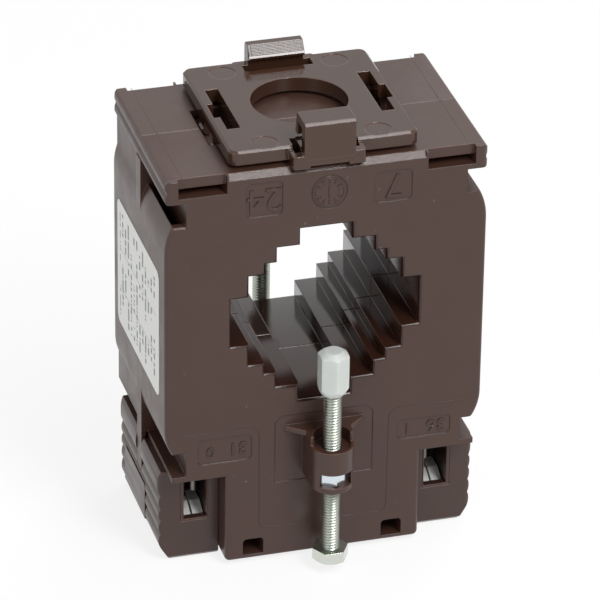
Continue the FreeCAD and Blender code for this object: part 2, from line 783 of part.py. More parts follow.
def carrier():
    """Insulating carrier on the side of the block, with a wire chamber at each end."""
    body = box(carrier_x0, carrier_x1, -carrier_half_y, carrier_half_y, carrier_low, carrier_top)
    tools = []
    for sign in (-1, 1):
        y0, y1 = sorted((sign * chamber_y0, sign * (carrier_half_y + 1)))
        tools.append(box(chamber_x0, chamber_x1, y0, y1, contact_z0, chamber_z1))
        slope = (contact_z0 - tongue_z0) / (contact_half_y - tongue_y)
        floor_z = contact_z0 - contact_fit
        far_y = carrier_half_y + 1
        foot = [(tongue_y - 0.2, contact_z0 + 0.01), (tongue_y - 0.2, floor_z), (tongue_y, floor_z),
                (far_y, floor_z - slope * (far_y - tongue_y)), (far_y, contact_z0 + 0.01)]
        tools.append(prism_x([(sign * y, z) for y, z in foot], chamber_x0, chamber_x1))
        sy0, sy1 = sorted((sign * (saddle_y0 - saddle_fit), sign * (carrier_half_y + 1)))
        wide = saddle_side + saddle_fit
        tools.append(box(chamber_x0 - wide, chamber_x1 + wide, sy0, sy1,
                         saddle_z0 - saddle_fit, saddle_z0 + saddle_thick + saddle_fit))
    for x0 in contact_xs:
        tools.append(box(x0 - contact_fit, x0 + contact_width + contact_fit, -contact_half_y, contact_half_y,
                         contact_z0, contact_z0 + contact_thick + contact_fit))
    tools.append(Part.makeCylinder(lead_hole_r, contact_xs[0] - carrier_x0 + 1.0,
                                   V(carrier_x0 - 1.0, 0, lead_z), V(1, 0, 0)))
    tools.append(box(rear_side_x - 1.0, carrier_x1 + 1, -bar_front - 0.5, bar_rear + 0.5, bar_low, carrier_top + 1))
    return cut(body, tools)


def contact_plates():
    """Two plated strips side by side, running from the front chamber to the rear one."""
    low, high = contact_z0, contact_z0 + contact_thick
    fall = contact_z0 - tongue_z0
    ends = [(tongue_y, low), (contact_half_y, low - fall), (contact_half_y, high - fall), (tongue_y, high)]
    outline = ends + [(-y, z) for y, z in reversed(ends)]
    return Part.makeCompound([prism_x(outline, x0, x0 + contact_width) for x0 in contact_xs])


def terminal_saddles():
    """Threaded saddle above each wire chamber."""
    saddles = []
    for sign in (-1, 1):
        y0, y1 = sorted((sign * saddle_y0, sign * saddle_y1))
        saddle = box(chamber_x0 - saddle_side, chamber_x1 + saddle_side, y0, y1, saddle_z0, saddle_z0 + saddle_thick)
        hole = rod(terminal_screw_r + 0.03, terminal_screw_x, sign * terminal_screw_y, saddle_z0 - 1,
                   saddle_z0 + saddle_thick + 1)
        saddles.append(saddle.cut(hole))
    return Part.makeCompound(saddles)


def terminal_screws():
    """Clamp screw of each wire chamber."""
    return Part.makeCompound([rod(terminal_screw_r, terminal_screw_x, sign * terminal_screw_y, terminal_screw_low,
                                  chamber_z1 - 0.1) for sign in (-1, 1)])


# Core and winding

def core():
    """Ring of wound strip about the opening."""
    return ring_y(core_outer_r, -core_half_y, core_half_y).cut(ring_y(core_inner_r, -core_half_y - 1, core_half_y + 1))


def core_wraps():
    """Two insulating shells that meet round the core, with flat sides."""
    def ring(inner_r, outer_r, y0, y1):
        step = math.pi / winding_sectors
        plans = []
        for radius in (outer_r, inner_r):
            corners = []
            for i in range(winding_sectors):
                angle = (2 * i + 1) * step
                corners.append((radius * math.sin(angle), aperture_z + radius * math.cos(angle)))
            plans.append(corners)
        return prism_y(plans[0], y0, y1).cut(prism_y(plans[1], y0 - 1, y1 + 1))

    flat = math.cos(math.pi / winding_sectors)
    shells = []
    for sign in (-1, 1):
        y0, y1 = sorted((0.0, sign * (core_half_y + wrap_gap + wrap_wall)))
        c0, c1 = sorted((-sign * 1.0, sign * (core_half_y + wrap_gap)))
        outer = ring(core_inner_r - wrap_gap - wrap_wall, (core_outer_r + wrap_gap + wrap_wall) / flat, y0, y1)
        inner = ring(core_inner_r - wrap_gap, (core_outer_r + wrap_gap) / flat, c0, c1)
        shells.append(outer.cut(inner))
    return Part.makeCompound(shells)


def wedge(inner_r, outer_r, half_angle, half_y):
    """Block between two radii, with flat inner and outer faces, centred on the upward direction."""
    lean = math.tan(math.radians(half_angle))
    return prism_y([(-inner_r * lean, inner_r), (inner_r * lean, inner_r), (outer_r * lean, outer_r),
                    (-outer_r * lean, outer_r)], -half_y, half_y)


def winding():
    """Coil sections round the wrapped core."""
    half = winding_fill_deg / 2
    flat = math.cos(math.radians(half))
    outer = wedge(winding_inner_r, winding_outer_r * flat, half, winding_half_y)
    inner = wedge((core_inner_r - core_spare) * flat, core_outer_r + core_spare, half + 1.0, core_half_y + core_spare)
    section = outer.cut(inner)
    coils = []
    for i in range(winding_sectors):
        coil = section.copy()
        coil.rotate(V(0, 0, 0), V(0, 1, 0), i * 360.0 / winding_sectors)
        coil.translate(V(0, 0, aperture_z))
        coils.append(coil)
    return Part.makeCompound(coils)


def lead():
    """Insulated lead from the winding to the contact plates, right-hand side."""
    drop = Part.makeCylinder(lead_r, lead_top - lead_z, V(lead_x, 0, lead_z), V(0, 0, 1))
    run = Part.makeCylinder(lead_r, contact_xs[0] - lead_x, V(lead_x, 0, lead_z), V(1, 0, 0))
    knee = Part.makeSphere(lead_r, V(lead_x, 0, lead_z))
    return fuse([drop, run, knee])


# Rail adapter

def front_hook():
    """Fixed hook at the front edge: a crown with a wall in front and a short leg behind."""
    outline = [(hook_front, tab_top - 1), (hook_front, hook_top - hook_edge), (hook_front + hook_edge, hook_top),
               (hook_rear_top - hook_edge_rear, hook_top), (hook_rear_top, hook_top - hook_edge_rear),
               (hook_rear_low, hook_leg_low),
               (hook_leg_y, hook_leg_low), (hook_leg_y, hook_top - hook_crown), (hook_wall_y, hook_top - hook_crown),
               (hook_wall_y, tab_top - 1)]
    return prism_x(outline, -hook_x, hook_x)


def rear_hook():
    """Sprung hook at the rear edge, with a ribbed lead-in ramp."""
    outline = [(rear_slot_y1, plate_low), (rear_hook_back, plate_low), (rear_hook_back, rear_hook_top - rear_edge),
               (rear_hook_back - rear_edge, rear_hook_top), (rear_ramp_y1, rear_hook_top),
               (rear_ramp_y0, rear_ramp_z0), (rear_nose_y, rear_ramp_z0 - 0.35),
               (rear_nose_y + 0.15, rear_ramp_z0 - 0.95), (rear_slot_y1, rear_ramp_z0 - 1.25)]
    return prism_x(outline, -rear_hook_x, rear_hook_x)


def ramp_ribs():
    """Fine ribs across the ramp of the rear hook."""
    ribs = []
    half = rear_hook_x - ramp_rib_margin
    for i in range(ramp_rib_count):
        share = (i + 0.5) / ramp_rib_count
        y = rear_ramp_y0 + share * (rear_ramp_y1 - rear_ramp_y0)
        z = rear_ramp_z0 + share * (rear_hook_top - rear_ramp_z0)
        ribs.append(prism_x([(y - 0.14, z + 0.06), (y - 0.02, z - 0.10), (y + 0.10, z + 0.22), (y - 0.03, z + 0.15)],
                            -half, half))
    return ribs


def latch_legs():
    """Legs with barbs that reach into the windows of the flange, right-hand side."""
    legs = []
    for y0, y1 in leg_spans:
        outline = [(leg_x0, leg_root), (leg_x0, leg_low), (leg_x1 - 0.3, leg_low), (leg_x1 + barb, leg_low + 1.0),
                   (leg_x1 + barb, leg_low + 1.3), (leg_x1, leg_low + 1.6), (leg_x1, leg_root)]
        legs.append(prism_y(outline, y0, y1))
    return legs


def adapter_feet():
    """Pads that hold the plate off the flange, right-hand side."""
    return [rod(pad_r, pad_x, y, flange_top, leg_root) for y in pad_ys]


def rail_adapter():
    """Snap-on plate with two hooks for a 35 mm rail."""
    plate = rounded_plan(-plate_x, plate_x, plate_y0, plate_y1, plate_low, plate_top, plate_corner_r)
    rim = [e for e in plate.Edges if e.BoundBox.ZMin > plate_top - 0.01]
    plate = plate.makeChamfer(plate_bevel, rim)
    tab = rounded_plan(-tab_x, tab_x, tab_front, plate_y0 + 6, tab_low, tab_top, tab_corner_r)
    back = rounded_plan(-rear_slot_x - 1.6, rear_slot_x + 1.6, plate_y1 - 3, rear_hook_back,
                        plate_low, plate_top - 0.6, tab_corner_r)
    pieces = [plate, tab, back, rear_hook()]
    for leg in latch_legs() + adapter_feet():
        pieces += both_sides(leg)
    body = fuse(pieces)
    tools = [rod(plate_hole_r, 0, plate_hole_y, plate_low - 1, plate_top + 1)]
    tools += both_sides(box(plate_slot_x0, plate_slot_x1, plate_slot_y0, plate_slot_y1, plate_low - 1, plate_top + 1))
    tools += both_sides(box(plate_slot_x0, plate_notch_x, plate_notch_y0, plate_notch_y1, plate_low - 1, plate_top + 1))
    tools.append(box(-rear_slot_x, rear_slot_x, rear_slot_y0, rear_slot_y1, plate_low - 1, plate_top + 1))
    tools += both_sides(box(tab_slit_x0, tab_slit_x1, tab_slit_y0, tab_slit_y1, tab_low - 1, plate_top + 1))
    tools.append(box(-hook_x, hook_x, hook_wall_y, hook_rear_low + 0.3, tab_top + 0.4, plate_top + 1))
    tools.append(box(-tab_relief_x, tab_relief_x, tab_front - 1, tab_front + 3, tab_low - 1, tab_low + tab_relief))
    for x, y in mark_places:
        tools += both_sides(rod(mark_r, x, y, plate_top - mark_depth, plate_top + 1))
    body = cut(body, tools)
    return fuse([body, front_hook()] + ramp_ribs())


def rating_label():
    """Thin plate of film on the left side."""
    block = box(-side_x - label_thick, -side_x, label_y0, label_y1, label_z0, label_z1)
    corners = [e for e in block.Edges if along(e, "x")]
    return block.makeFillet(label_corner_r, corners)


# Output

def build_nodes():
    """All pieces by name."""
    nodes = {
        "front_shell": half_shell(True),
        "rear_shell": turn_half(half_shell(False)),
        "rating_label": rating_label(),
        "rail_adapter": rail_adapter(),
        "core": core(),
        "core_wraps": core_wraps(),
        "secondary_winding": winding(),
        "nut_front": nut(),
        "nut_rear": turn_half(nut()),
        "clamp_screw_front": clamp_screw(0.0),
        "clamp_screw_rear": turn_half(clamp_screw(rear_screw_lift)),
        "screw_cap_front": nylon_cap(0.0),
        "screw_cap_rear": turn_half(nylon_cap(rear_screw_lift)),
    }
    sided = {
        "terminal_cover": terminal_cover(),
        "terminal_carrier": carrier(),
        "contact_plates": contact_plates(),
        "terminal_saddles": terminal_saddles(),
        "terminal_screws": terminal_screws(),
        "winding_lead": lead(),
    }
    for name, shape in sided.items():
        nodes[name + "_right"] = shape
        nodes[name + "_left"] = mirror_x(shape)
    return nodes


def main():
    """Write one STEP file for each piece."""
    os.makedirs("parts", exist_ok=True)
    for name, shape in build_nodes().items():
        solids = shape.Solids
        sound = all(solid.isValid() for solid in solids)
        print(name, len(solids), "solid(s)", "sound" if sound else "NOT SOUND", round(shape.Volume, 1))
        out = solids[0] if len(solids) == 1 else Part.makeCompound(solids)
        out.exportStep("parts/" + name + ".step")


main()
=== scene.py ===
"""Dresses the window-type current transformer and sets up its studio.

The two housing shells, the rail adapter, the terminal covers and the small
hardware keep their CAD shapes. Each shown one is a merged, smoothly shaded copy
of its node. The screw threads, the moulded marks on the front, the fine mould
lines and the label print are made here.
"""

import logging
import math
from collections.abc import Iterator
from contextlib import contextmanager
from dataclasses import dataclass
from enum import Enum

import bmesh
import bpy
from mathutils import Matrix, Vector


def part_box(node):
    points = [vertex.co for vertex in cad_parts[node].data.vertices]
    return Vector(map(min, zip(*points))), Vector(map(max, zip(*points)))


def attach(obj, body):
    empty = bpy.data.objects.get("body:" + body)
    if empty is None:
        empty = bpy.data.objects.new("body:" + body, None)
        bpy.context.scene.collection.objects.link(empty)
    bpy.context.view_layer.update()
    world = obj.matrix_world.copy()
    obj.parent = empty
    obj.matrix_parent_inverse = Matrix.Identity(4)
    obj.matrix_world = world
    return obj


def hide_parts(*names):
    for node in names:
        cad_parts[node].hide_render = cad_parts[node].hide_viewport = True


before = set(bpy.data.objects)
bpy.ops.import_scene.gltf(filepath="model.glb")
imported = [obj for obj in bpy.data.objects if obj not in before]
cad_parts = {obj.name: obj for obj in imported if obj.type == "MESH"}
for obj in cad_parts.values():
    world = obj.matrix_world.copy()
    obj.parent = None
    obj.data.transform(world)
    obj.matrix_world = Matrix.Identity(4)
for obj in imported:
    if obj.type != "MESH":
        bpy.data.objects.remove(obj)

log = logging.getLogger("current_transformer")

MM = 0.001
PHOTO_PX = 600
HALF_DEPTH_MM = 22.5
MERGE_M = 2e-6
SLIVER_M = 1e-6
RAMP_FACING = (0.0, -0.78, 0.63)
WHITE = (1.0, 1.0, 1.0, 1.0)


# Small helpers

def linear(hex_colour: str) -> tuple[float, float, float, float]:
    """Turns an sRGB hex value into a linear RGBA colour.

    Args:
        hex_colour: Six hex digits with a leading hash sign.

    Returns:
        The colour as four linear numbers, with alpha 1.
    """
    digits = hex_colour.lstrip("#")
    channels = []
    for start in (0, 2, 4):
        value = int(digits[start:start + 2], 16) / 255
        channels.append(value / 12.92 if value <= 0.04045 else ((value + 0.055) / 1.055) ** 2.4)
    return (channels[0], channels[1], channels[2], 1.0)


def add_node(
    tree: bpy.types.NodeTree,
    kind: str,
    inputs: dict | None = None,
    links: dict | None = None,
    **settings: object,
) -> bpy.types.Node:
    """Adds one node with its settings, input values and incoming links.

    Args:
        tree: Node tree that gets the node.
        kind: Node type name.
        inputs: Values by input name or number.
        links: Output sockets by the name or number of the input that they feed.
        settings: Properties of the node itself.

    Returns:
        The new node.
    """
    node = tree.nodes.new(kind)
    for key, value in settings.items():
        setattr(node, key, value)
    for key, value in (inputs or {}).items():
        node.inputs[key].default_value = value
    for key, socket in (links or {}).items():
        tree.links.new(socket, node.inputs[key])
    return node


def new_material(name: str) -> tuple[bpy.types.Material, bpy.types.NodeTree]:
    """Starts a material.

    Args:
        name: Name of the material.

    Returns:
        The material and its empty node tree.
    """
    material = bpy.data.materials.new(name)
    material.use_nodes = True
    material.node_tree.nodes.clear()
    return material, material.node_tree


def new_object(name: str, data: bpy.types.Mesh | bpy.types.Curve) -> bpy.types.Object:
    """Makes an object and links it to the scene.

    Args:
        name: Name of the piece.
        data: Its mesh or curve, already in place.

    Returns:
        The linked object.
    """
    piece = bpy.data.objects.new(name, data)
    bpy.context.scene.collection.objects.link(piece)
    return piece


def mesh_of(piece: bpy.types.Object) -> bpy.types.Mesh:
    """Gives the plain mesh that an object shows."""
    view = bpy.context.evaluated_depsgraph_get()
    return bpy.data.meshes.new_from_object(piece.evaluated_get(view), depsgraph=view)


def meshed(name: str, curve: bpy.types.Curve) -> bpy.types.Mesh:
    """Turns a curve or a text into plain mesh.

    Args:
        name: Name for the passing object.
        curve: The curve or text, which is deleted.

    Returns:
        The mesh.
    """
    holder = new_object(name, curve)
    mesh = mesh_of(holder)
    bpy.data.objects.remove(holder)
    bpy.data.curves.remove(curve)
    return mesh


@contextmanager
def editing(mesh: bpy.types.Mesh) -> Iterator[bmesh.types.BMesh]:
    """Opens a mesh for editing and writes it back afterwards.

    Args:
        mesh: Mesh to edit.

    Yields:
        The open mesh.
    """
    work = bmesh.new()
    work.from_mesh(mesh)
    yield work
    work.to_mesh(mesh)
    work.free()


def shade(mesh: bpy.types.Mesh, crease_deg: float) -> None:
    """Shades a mesh smoothly, with sharp edges above an angle.

    Args:
        mesh: Mesh to shade.
        crease_deg: Angle between faces above which an edge stays sharp.
    """
    limit = math.radians(crease_deg)
    with editing(mesh) as work:
        for face in work.faces:
            face.smooth = True
        for edge in work.edges:
            edge.smooth = len(edge.link_faces) == 2 and edge.calc_face_angle(0.0) < limit


def dress(piece: bpy.types.Object, material: bpy.types.Material) -> bpy.types.Object:
    """Gives a piece one material.

    Args:
        piece: Object with a mesh.
        material: The material.

    Returns:
        The same piece.
    """
    piece.data.materials.clear()
    piece.data.materials.append(material)
    return piece


def merged_copy(node: str, name: str, crease_deg: float = 32.0) -> bpy.types.Object:
    """Copies a CAD node with its corners merged and its round faces smooth.

    Args:
        node: CAD node that the copy stands for.
        name: Name of the new piece.
        crease_deg: Angle above which an edge stays sharp.

    Returns:
        The new piece, not yet riding on a body.
    """
    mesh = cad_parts[node].data.copy()
    mesh.name = name
    with editing(mesh) as work:
        bmesh.ops.remove_doubles(work, verts=work.verts, dist=MERGE_M)
        bmesh.ops.dissolve_degenerate(work, edges=work.edges, dist=SLIVER_M)
    if "custom_normal" in mesh.attributes:
        mesh.attributes.remove(mesh.attributes["custom_normal"])
    shade(mesh, crease_deg)
    return new_object(name, mesh)


def new_tree(name: str, inputs: dict[str, str]) -> tuple[bpy.types.NodeTree, bpy.types.Node]:
    """Starts a Geometry Nodes tree with named inputs.

    Args:
        name: Name of the tree.
        inputs: Kind of value by the name of the input.

    Returns:
        The tree and its input node.
    """
    tree = bpy.data.node_groups.new(name, "GeometryNodeTree")
    tree.interface.new_socket("Geometry", in_out="OUTPUT", socket_type="NodeSocketGeometry")
    for label, kind in inputs.items():
        tree.interface.new_socket(label, in_out="INPUT", socket_type="NodeSocket" + kind)
    return tree, add_node(tree, "NodeGroupInput")


def close_tree(tree: bpy.types.NodeTree, shape: bpy.types.NodeSocket, paint: bpy.types.NodeSocket) -> None:
    """Ends a Geometry Nodes tree in real geometry with a material.

    Args:
        tree: The tree.
        shape: Socket with the geometry.
        paint: Socket with the material.
    """
    real = add_node(tree, "GeometryNodeRealizeInstances", links={0: shape})
    painted = add_node(tree, "GeometryNodeSetMaterial", links={0: real.outputs[0], "Material": paint})
    add_node(tree, "NodeGroupOutput", links={0: painted.outputs[0]})


def grown(name: str, tree: bpy.types.NodeTree, settings: dict[str, object]) -> bpy.types.Object:
    """Makes a plain mesh piece from a Geometry Nodes tree.

    Args:
        name: Name of the piece.
        tree: Tree that makes the whole piece.
        settings: Values by the name of the input.

    Returns:
        The new piece, without a modifier.
    """
    piece = new_object(name, bpy.data.meshes.new(name))
    modifier = piece.modifiers.new(name, "NODES")
    modifier.node_group = tree
    for item in tree.interface.items_tree:
        if item.name in settings:
            modifier[item.identifier] = settings[item.name]
    mesh = mesh_of(piece)
    piece.modifiers.clear()
    piece.data = mesh
    return piece


class Body(Enum):
    """CAD bodies that pieces ride on."""

    HOUSING = "housing"
    FRONT_CAP = "front_cap"
    FRONT_SCREW = "front_screw"
    REAR_CAP = "rear_cap"
    REAR_SCREW = "rear_screw"
    LEFT_COVER = "left_cover"
    RIGHT_COVER = "right_cover"


def place(
    piece: bpy.types.Object,
    body: Body,
    stands_for: str | None = None,
) -> bpy.types.Object:
    """Ties a finished piece to its CAD body and node.

    Args:
        piece: Finished piece with its place in its mesh.
        body: Body that it rides on.
        stands_for: CAD node that it replaces, if any.

    Returns:
        The same piece.
    """
    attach(piece, body.value)
    if stands_for is not None:
        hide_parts(stands_for)
    log.info("piece %s: %d faces, rides on %s", piece.name, len(piece.data.polygons), body.value)
    return piece


# Finishes

@dataclass(frozen=True)
class MouldedPlastic:
    """Injection-moulded polycarbonate blend with a spark-eroded surface.

    The eye sees a dark body colour, a soft sheen that brightens at grazing
    angles, faint cloudiness, small pale scuffs and a bright, warmer line on each
    edge; that line is painted light, colour that stands in for light coming
    through the plastic at its edges. The window-wall setting gives the axis
    height, reach and half depth of the smoother, glossier window walls, which
    are also painted darker there as shade. Coarse gives the front and lower
    limit of the grained chamfer. Plain_y is the depth of the front face, whose
    marks get painted shade round their rims. Lean is the way that a ribbed
    surface faces.
    """

    name: str
    base: str
    cloud: str
    scuff: str
    # Colour of the painted edge line: painted light standing in for light coming through the plastic's edges
    edge: str
    roughness: float
    smudge: float
    grain_mm: float
    grain_height_mm: float
    wave_height_mm: float
    edge_mm: float
    scuff_cover: float
    # How much of the painted edge line is mixed in at the edges
    painted_edge_glow: float = 0.40
    polish_and_shade: tuple[float, float, float] | None = None
    coarse: tuple[float, float] | None = None
    plain_y: float | None = None
    lean: tuple[float, float, float] | None = None
    lean_share: float = 0.8
    # Colour of the painted shade on the window's inner walls
    deep: str = "#301C15"
    # Colour of the painted shade round the rims of the shallow front marks
    painted_rim_shade: str = "#120A08"
    ior: float = 1.50
    cloud_mm: float = 9.0
    speck_mm: float = 2.2
    patch_mm: float = 14.0
    hand_mm: float = 6.0
    wave_mm: float = 11.0
    rim_mm: float = 0.3
    polish_roughness: float = 0.10
    crumb_mm: float = 0.25
    crumb_height_mm: float = 0.07
    crumb_roughness: float = 0.24

    def painted_edge_light(
        self,
        tree: bpy.types.NodeTree,
        spot: bpy.types.NodeSocket,
        colour: bpy.types.NodeSocket,
        rounded: bpy.types.NodeSocket,
    ) -> bpy.types.NodeSocket:
        """Paints light and shade into the body colour: a warmer, brighter line along the edges as painted
        light, and painted shade round the shallow marks.

        Args:
            tree: Node tree of the material.
            spot: Place on the object.
            colour: Colour of the open surface.
            rounded: Surface direction with rounded edges.

        Returns:
            The socket with the colour and its painted edge light and shade.
        """
        # The warm, brighter edge line is painted light, not a colour of the plastic
        flat = add_node(tree, "ShaderNodeNewGeometry").outputs["Normal"]
        turn = add_node(tree, "ShaderNodeVectorMath", links={0: flat, 1: rounded}, operation="DOT_PRODUCT")
        share = add_node(tree, "ShaderNodeMapRange", {1: 0.995, 2: 0.88, 3: 0.0, 4: self.painted_edge_glow},
                         {0: turn.outputs["Value"]}).outputs[0]
        if self.plain_y is None:
            return add_node(tree, "ShaderNodeMix", {7: linear(self.edge)}, {0: share, 6: colour},
                            data_type="RGBA").outputs[2]
        # Within rim_mm of the front face the edge line turns to painted shade, so the shallow marks look dark
        # round their rims
        axes = add_node(tree, "ShaderNodeSeparateXYZ", links={0: spot})
        shallow = add_node(tree, "ShaderNodeMath", {1: self.plain_y * MM, 2: self.rim_mm * MM},
                           {0: axes.outputs["Y"]}, operation="COMPARE")
        rim = add_node(tree, "ShaderNodeMix", {6: linear(self.edge), 7: linear(self.painted_rim_shade)},
                       {0: shallow.outputs[0]}, data_type="RGBA")
        return add_node(tree, "ShaderNodeMix", links={0: share, 6: colour, 7: rim.outputs[2]},
                        data_type="RGBA").outputs[2]

    def polish_and_shade_mask(self, tree: bpy.types.NodeTree, spot: bpy.types.NodeSocket) -> bpy.types.NodeSocket:
        """Adds a mask of the glossy walls inside the window, which also get painted shade.

        Args:
            tree: Node tree of the material.
            spot: Place on the object.

        Returns:
            A socket that is 1 on those walls.
        """
        height, reach, half = (value * MM for value in self.polish_and_shade)
        axes = add_node(tree, "ShaderNodeSeparateXYZ", links={0: spot})
        rise = add_node(tree, "ShaderNodeMath", {1: height}, {0: axes.outputs["Z"]}, operation="SUBTRACT")
        flat = add_node(tree, "ShaderNodeCombineXYZ", links={0: axes.outputs["X"], 1: rise.outputs[0]})
        far = add_node(tree, "ShaderNodeVectorMath", links={0: flat.outputs[0]}, operation="LENGTH")
        near = add_node(tree, "ShaderNodeMath", {1: reach}, {0: far.outputs["Value"]}, operation="LESS_THAN")
        within = add_node(tree, "ShaderNodeMath", {1: 0.0, 2: half}, {0: axes.outputs["Y"]},
                          operation="COMPARE")
        return add_node(tree, "ShaderNodeMath", links={0: near.outputs[0], 1: within.outputs[0]},
                        operation="MULTIPLY").outputs[0]

    def coarsened(self, tree: bpy.types.NodeTree, spot: bpy.types.NodeSocket) -> bpy.types.NodeSocket:
        """Adds a mask of the coarsely grained chamfer on the front of the flange.

        Args:
            tree: Node tree of the material.
            spot: Place on the object.

        Returns:
            A socket that is 1 on the chamfer.
        """
        front, low = (value * MM for value in self.coarse)
        axes = add_node(tree, "ShaderNodeSeparateXYZ", links={0: spot})
        fore = add_node(tree, "ShaderNodeMath", {1: front}, {0: axes.outputs["Y"]}, operation="LESS_THAN")
        high = add_node(tree, "ShaderNodeMath", {1: low}, {0: axes.outputs["Z"]}, operation="GREATER_THAN")
        return add_node(tree, "ShaderNodeMath", links={0: fore.outputs[0], 1: high.outputs[0]},
                        operation="MULTIPLY").outputs[0]

    def tinted(self, tree: bpy.types.NodeTree, spot: bpy.types.NodeSocket) -> bpy.types.NodeSocket:
        """Adds the cloudy body colour with small pale scuffs.

        Args:
            tree: Node tree of the material.
            spot: Place on the object.

        Returns:
            The socket with the colour of the open surface.
        """
        cloud = add_node(tree, "ShaderNodeTexNoise",
                         {"Scale": 1 / (self.cloud_mm * MM), "Detail": 3.0, "Roughness": 0.55},
                         {"Vector": spot})
        tint = add_node(tree, "ShaderNodeMix", {6: linear(self.base), 7: linear(self.cloud)},
                        {0: cloud.outputs["Fac"]}, data_type="RGBA")
        # Short scuffs and dust specks, thinned out by a coarser mask
        stretch = add_node(tree, "ShaderNodeMapping",
                           {"Rotation": (0.4, 0.9, 0.3), "Scale": (1.0, 1.0, 0.55)}, {"Vector": spot})
        speck = add_node(tree, "ShaderNodeTexVoronoi",
                         {"Scale": 1 / (self.speck_mm * MM), "Randomness": 1.0},
                         {"Vector": stretch.outputs[0]}, feature="F1")
        near = add_node(tree, "ShaderNodeMapRange", {1: 0.0, 2: 0.10, 3: 1.0, 4: 0.0},
                        {0: speck.outputs["Distance"]})
        patch = add_node(tree, "ShaderNodeTexNoise", {"Scale": 1 / (self.patch_mm * MM), "Detail": 2.0},
                         {"Vector": spot})
        where = add_node(tree, "ShaderNodeMapRange",
                         {1: 0.62 - 0.1 * self.scuff_cover, 2: 0.74, 3: 0.0, 4: 0.65},
                         {0: patch.outputs["Fac"]})
        worn = add_node(tree, "ShaderNodeMath", links={0: near.outputs[0], 1: where.outputs[0]},
                        operation="MULTIPLY")
        return add_node(tree, "ShaderNodeMix", {7: linear(self.scuff)},
                        {0: worn.outputs[0], 6: tint.outputs[2]}, data_type="RGBA").outputs[2]

    def facing(self, tree: bpy.types.NodeTree) -> bpy.types.NodeSocket:
        """Adds the surface direction, rounded at the edges or leaning on a ribbed surface.

        Args:
            tree: Node tree of the material.

        Returns:
            The socket with the direction.
        """
        if self.lean is None:
            return add_node(tree, "ShaderNodeBevel", {"Radius": self.edge_mm * MM}, samples=6).outputs[0]
        # Ribs too fine to show one by one share out the gloss of the surface that they stand on
        flat = add_node(tree, "ShaderNodeNewGeometry").outputs["Normal"]
        own = 1 - self.lean_share
        leaning = add_node(tree, "ShaderNodeVectorMath",
                           {1: (own, own, own), 2: tuple(self.lean_share * part for part in self.lean)},
                           {0: flat}, operation="MULTIPLY_ADD")
        return add_node(tree, "ShaderNodeVectorMath", links={0: leaning.outputs[0]},
                        operation="NORMALIZE").outputs[0]

    def build(self) -> bpy.types.Material:
        """Builds the material's node tree.

        Returns:
            The finished material.
        """
        material, tree = new_material(self.name)
        spot = add_node(tree, "ShaderNodeTexCoord").outputs["Object"]
        skin = self.tinted(tree, spot)
        # Sheen varies with handling
        handled = add_node(tree, "ShaderNodeTexNoise",
                           {"Scale": 1 / (self.hand_mm * MM), "Detail": 4.0, "Roughness": 0.6},
                           {"Vector": spot})
        sheen = add_node(tree, "ShaderNodeMapRange",
                         {1: 0.3, 2: 0.7, 3: self.roughness - self.smudge, 4: self.roughness + self.smudge},
                         {0: handled.outputs["Fac"]}).outputs[0]
        if self.polish_and_shade is not None:
            # The window's walls are polished, so they reflect more clearly; they are also painted darker
            # there, as shade inside the window
            inside = self.polish_and_shade_mask(tree, spot)
            sheen = add_node(tree, "ShaderNodeMix", {3: self.polish_roughness},
                             {0: inside, 2: sheen}).outputs[0]
            skin = add_node(tree, "ShaderNodeMix", {7: linear(self.deep)}, {0: inside, 6: skin},
                            data_type="RGBA").outputs[2]
        # Spark-eroded grain, drawn coarser than the real one to show, over a slow waviness from shrinkage
        grain = add_node(tree, "ShaderNodeTexNoise", {"Scale": 1 / (self.grain_mm * MM), "Detail": 2.0},
                         {"Vector": spot})
        wave = add_node(tree, "ShaderNodeTexNoise", {"Scale": 1 / (self.wave_mm * MM), "Detail": 1.0},
                        {"Vector": spot})
        facing = self.facing(tree)
        slow = add_node(tree, "ShaderNodeBump", {"Strength": 1.0, "Distance": self.wave_height_mm * MM},
                        {"Height": wave.outputs["Fac"], "Normal": facing})
        relief = add_node(tree, "ShaderNodeBump", {"Strength": 1.0, "Distance": self.grain_height_mm * MM},
                          {"Height": grain.outputs["Fac"], "Normal": slow.outputs[0]}).outputs[0]
        if self.coarse is not None:
            # The chamfer's crumbs are drawn coarser than the real ones, to show
            band = self.coarsened(tree, spot)
            crumb = add_node(tree, "ShaderNodeTexNoise", {"Scale": 1 / (self.crumb_mm * MM), "Detail": 2.0},
                             {"Vector": spot})
            depth = add_node(tree, "ShaderNodeMath", links={0: crumb.outputs["Fac"], 1: band},
                             operation="MULTIPLY")
            relief = add_node(tree, "ShaderNodeBump",
                              {"Strength": 1.0, "Distance": self.crumb_height_mm * MM},
                              {"Height": depth.outputs[0], "Normal": relief}).outputs[0]
            sheen = add_node(tree, "ShaderNodeMix", {3: self.crumb_roughness},
                             {0: band, 2: sheen}).outputs[0]
        body = self.painted_edge_light(tree, spot, skin, facing)
        shader = add_node(tree, "ShaderNodeBsdfPrincipled", {"IOR": self.ior},
                          {"Base Color": body, "Roughness": sheen, "Normal": relief})
        add_node(tree, "ShaderNodeOutputMaterial", links={"Surface": shader.outputs[0]})
        return material


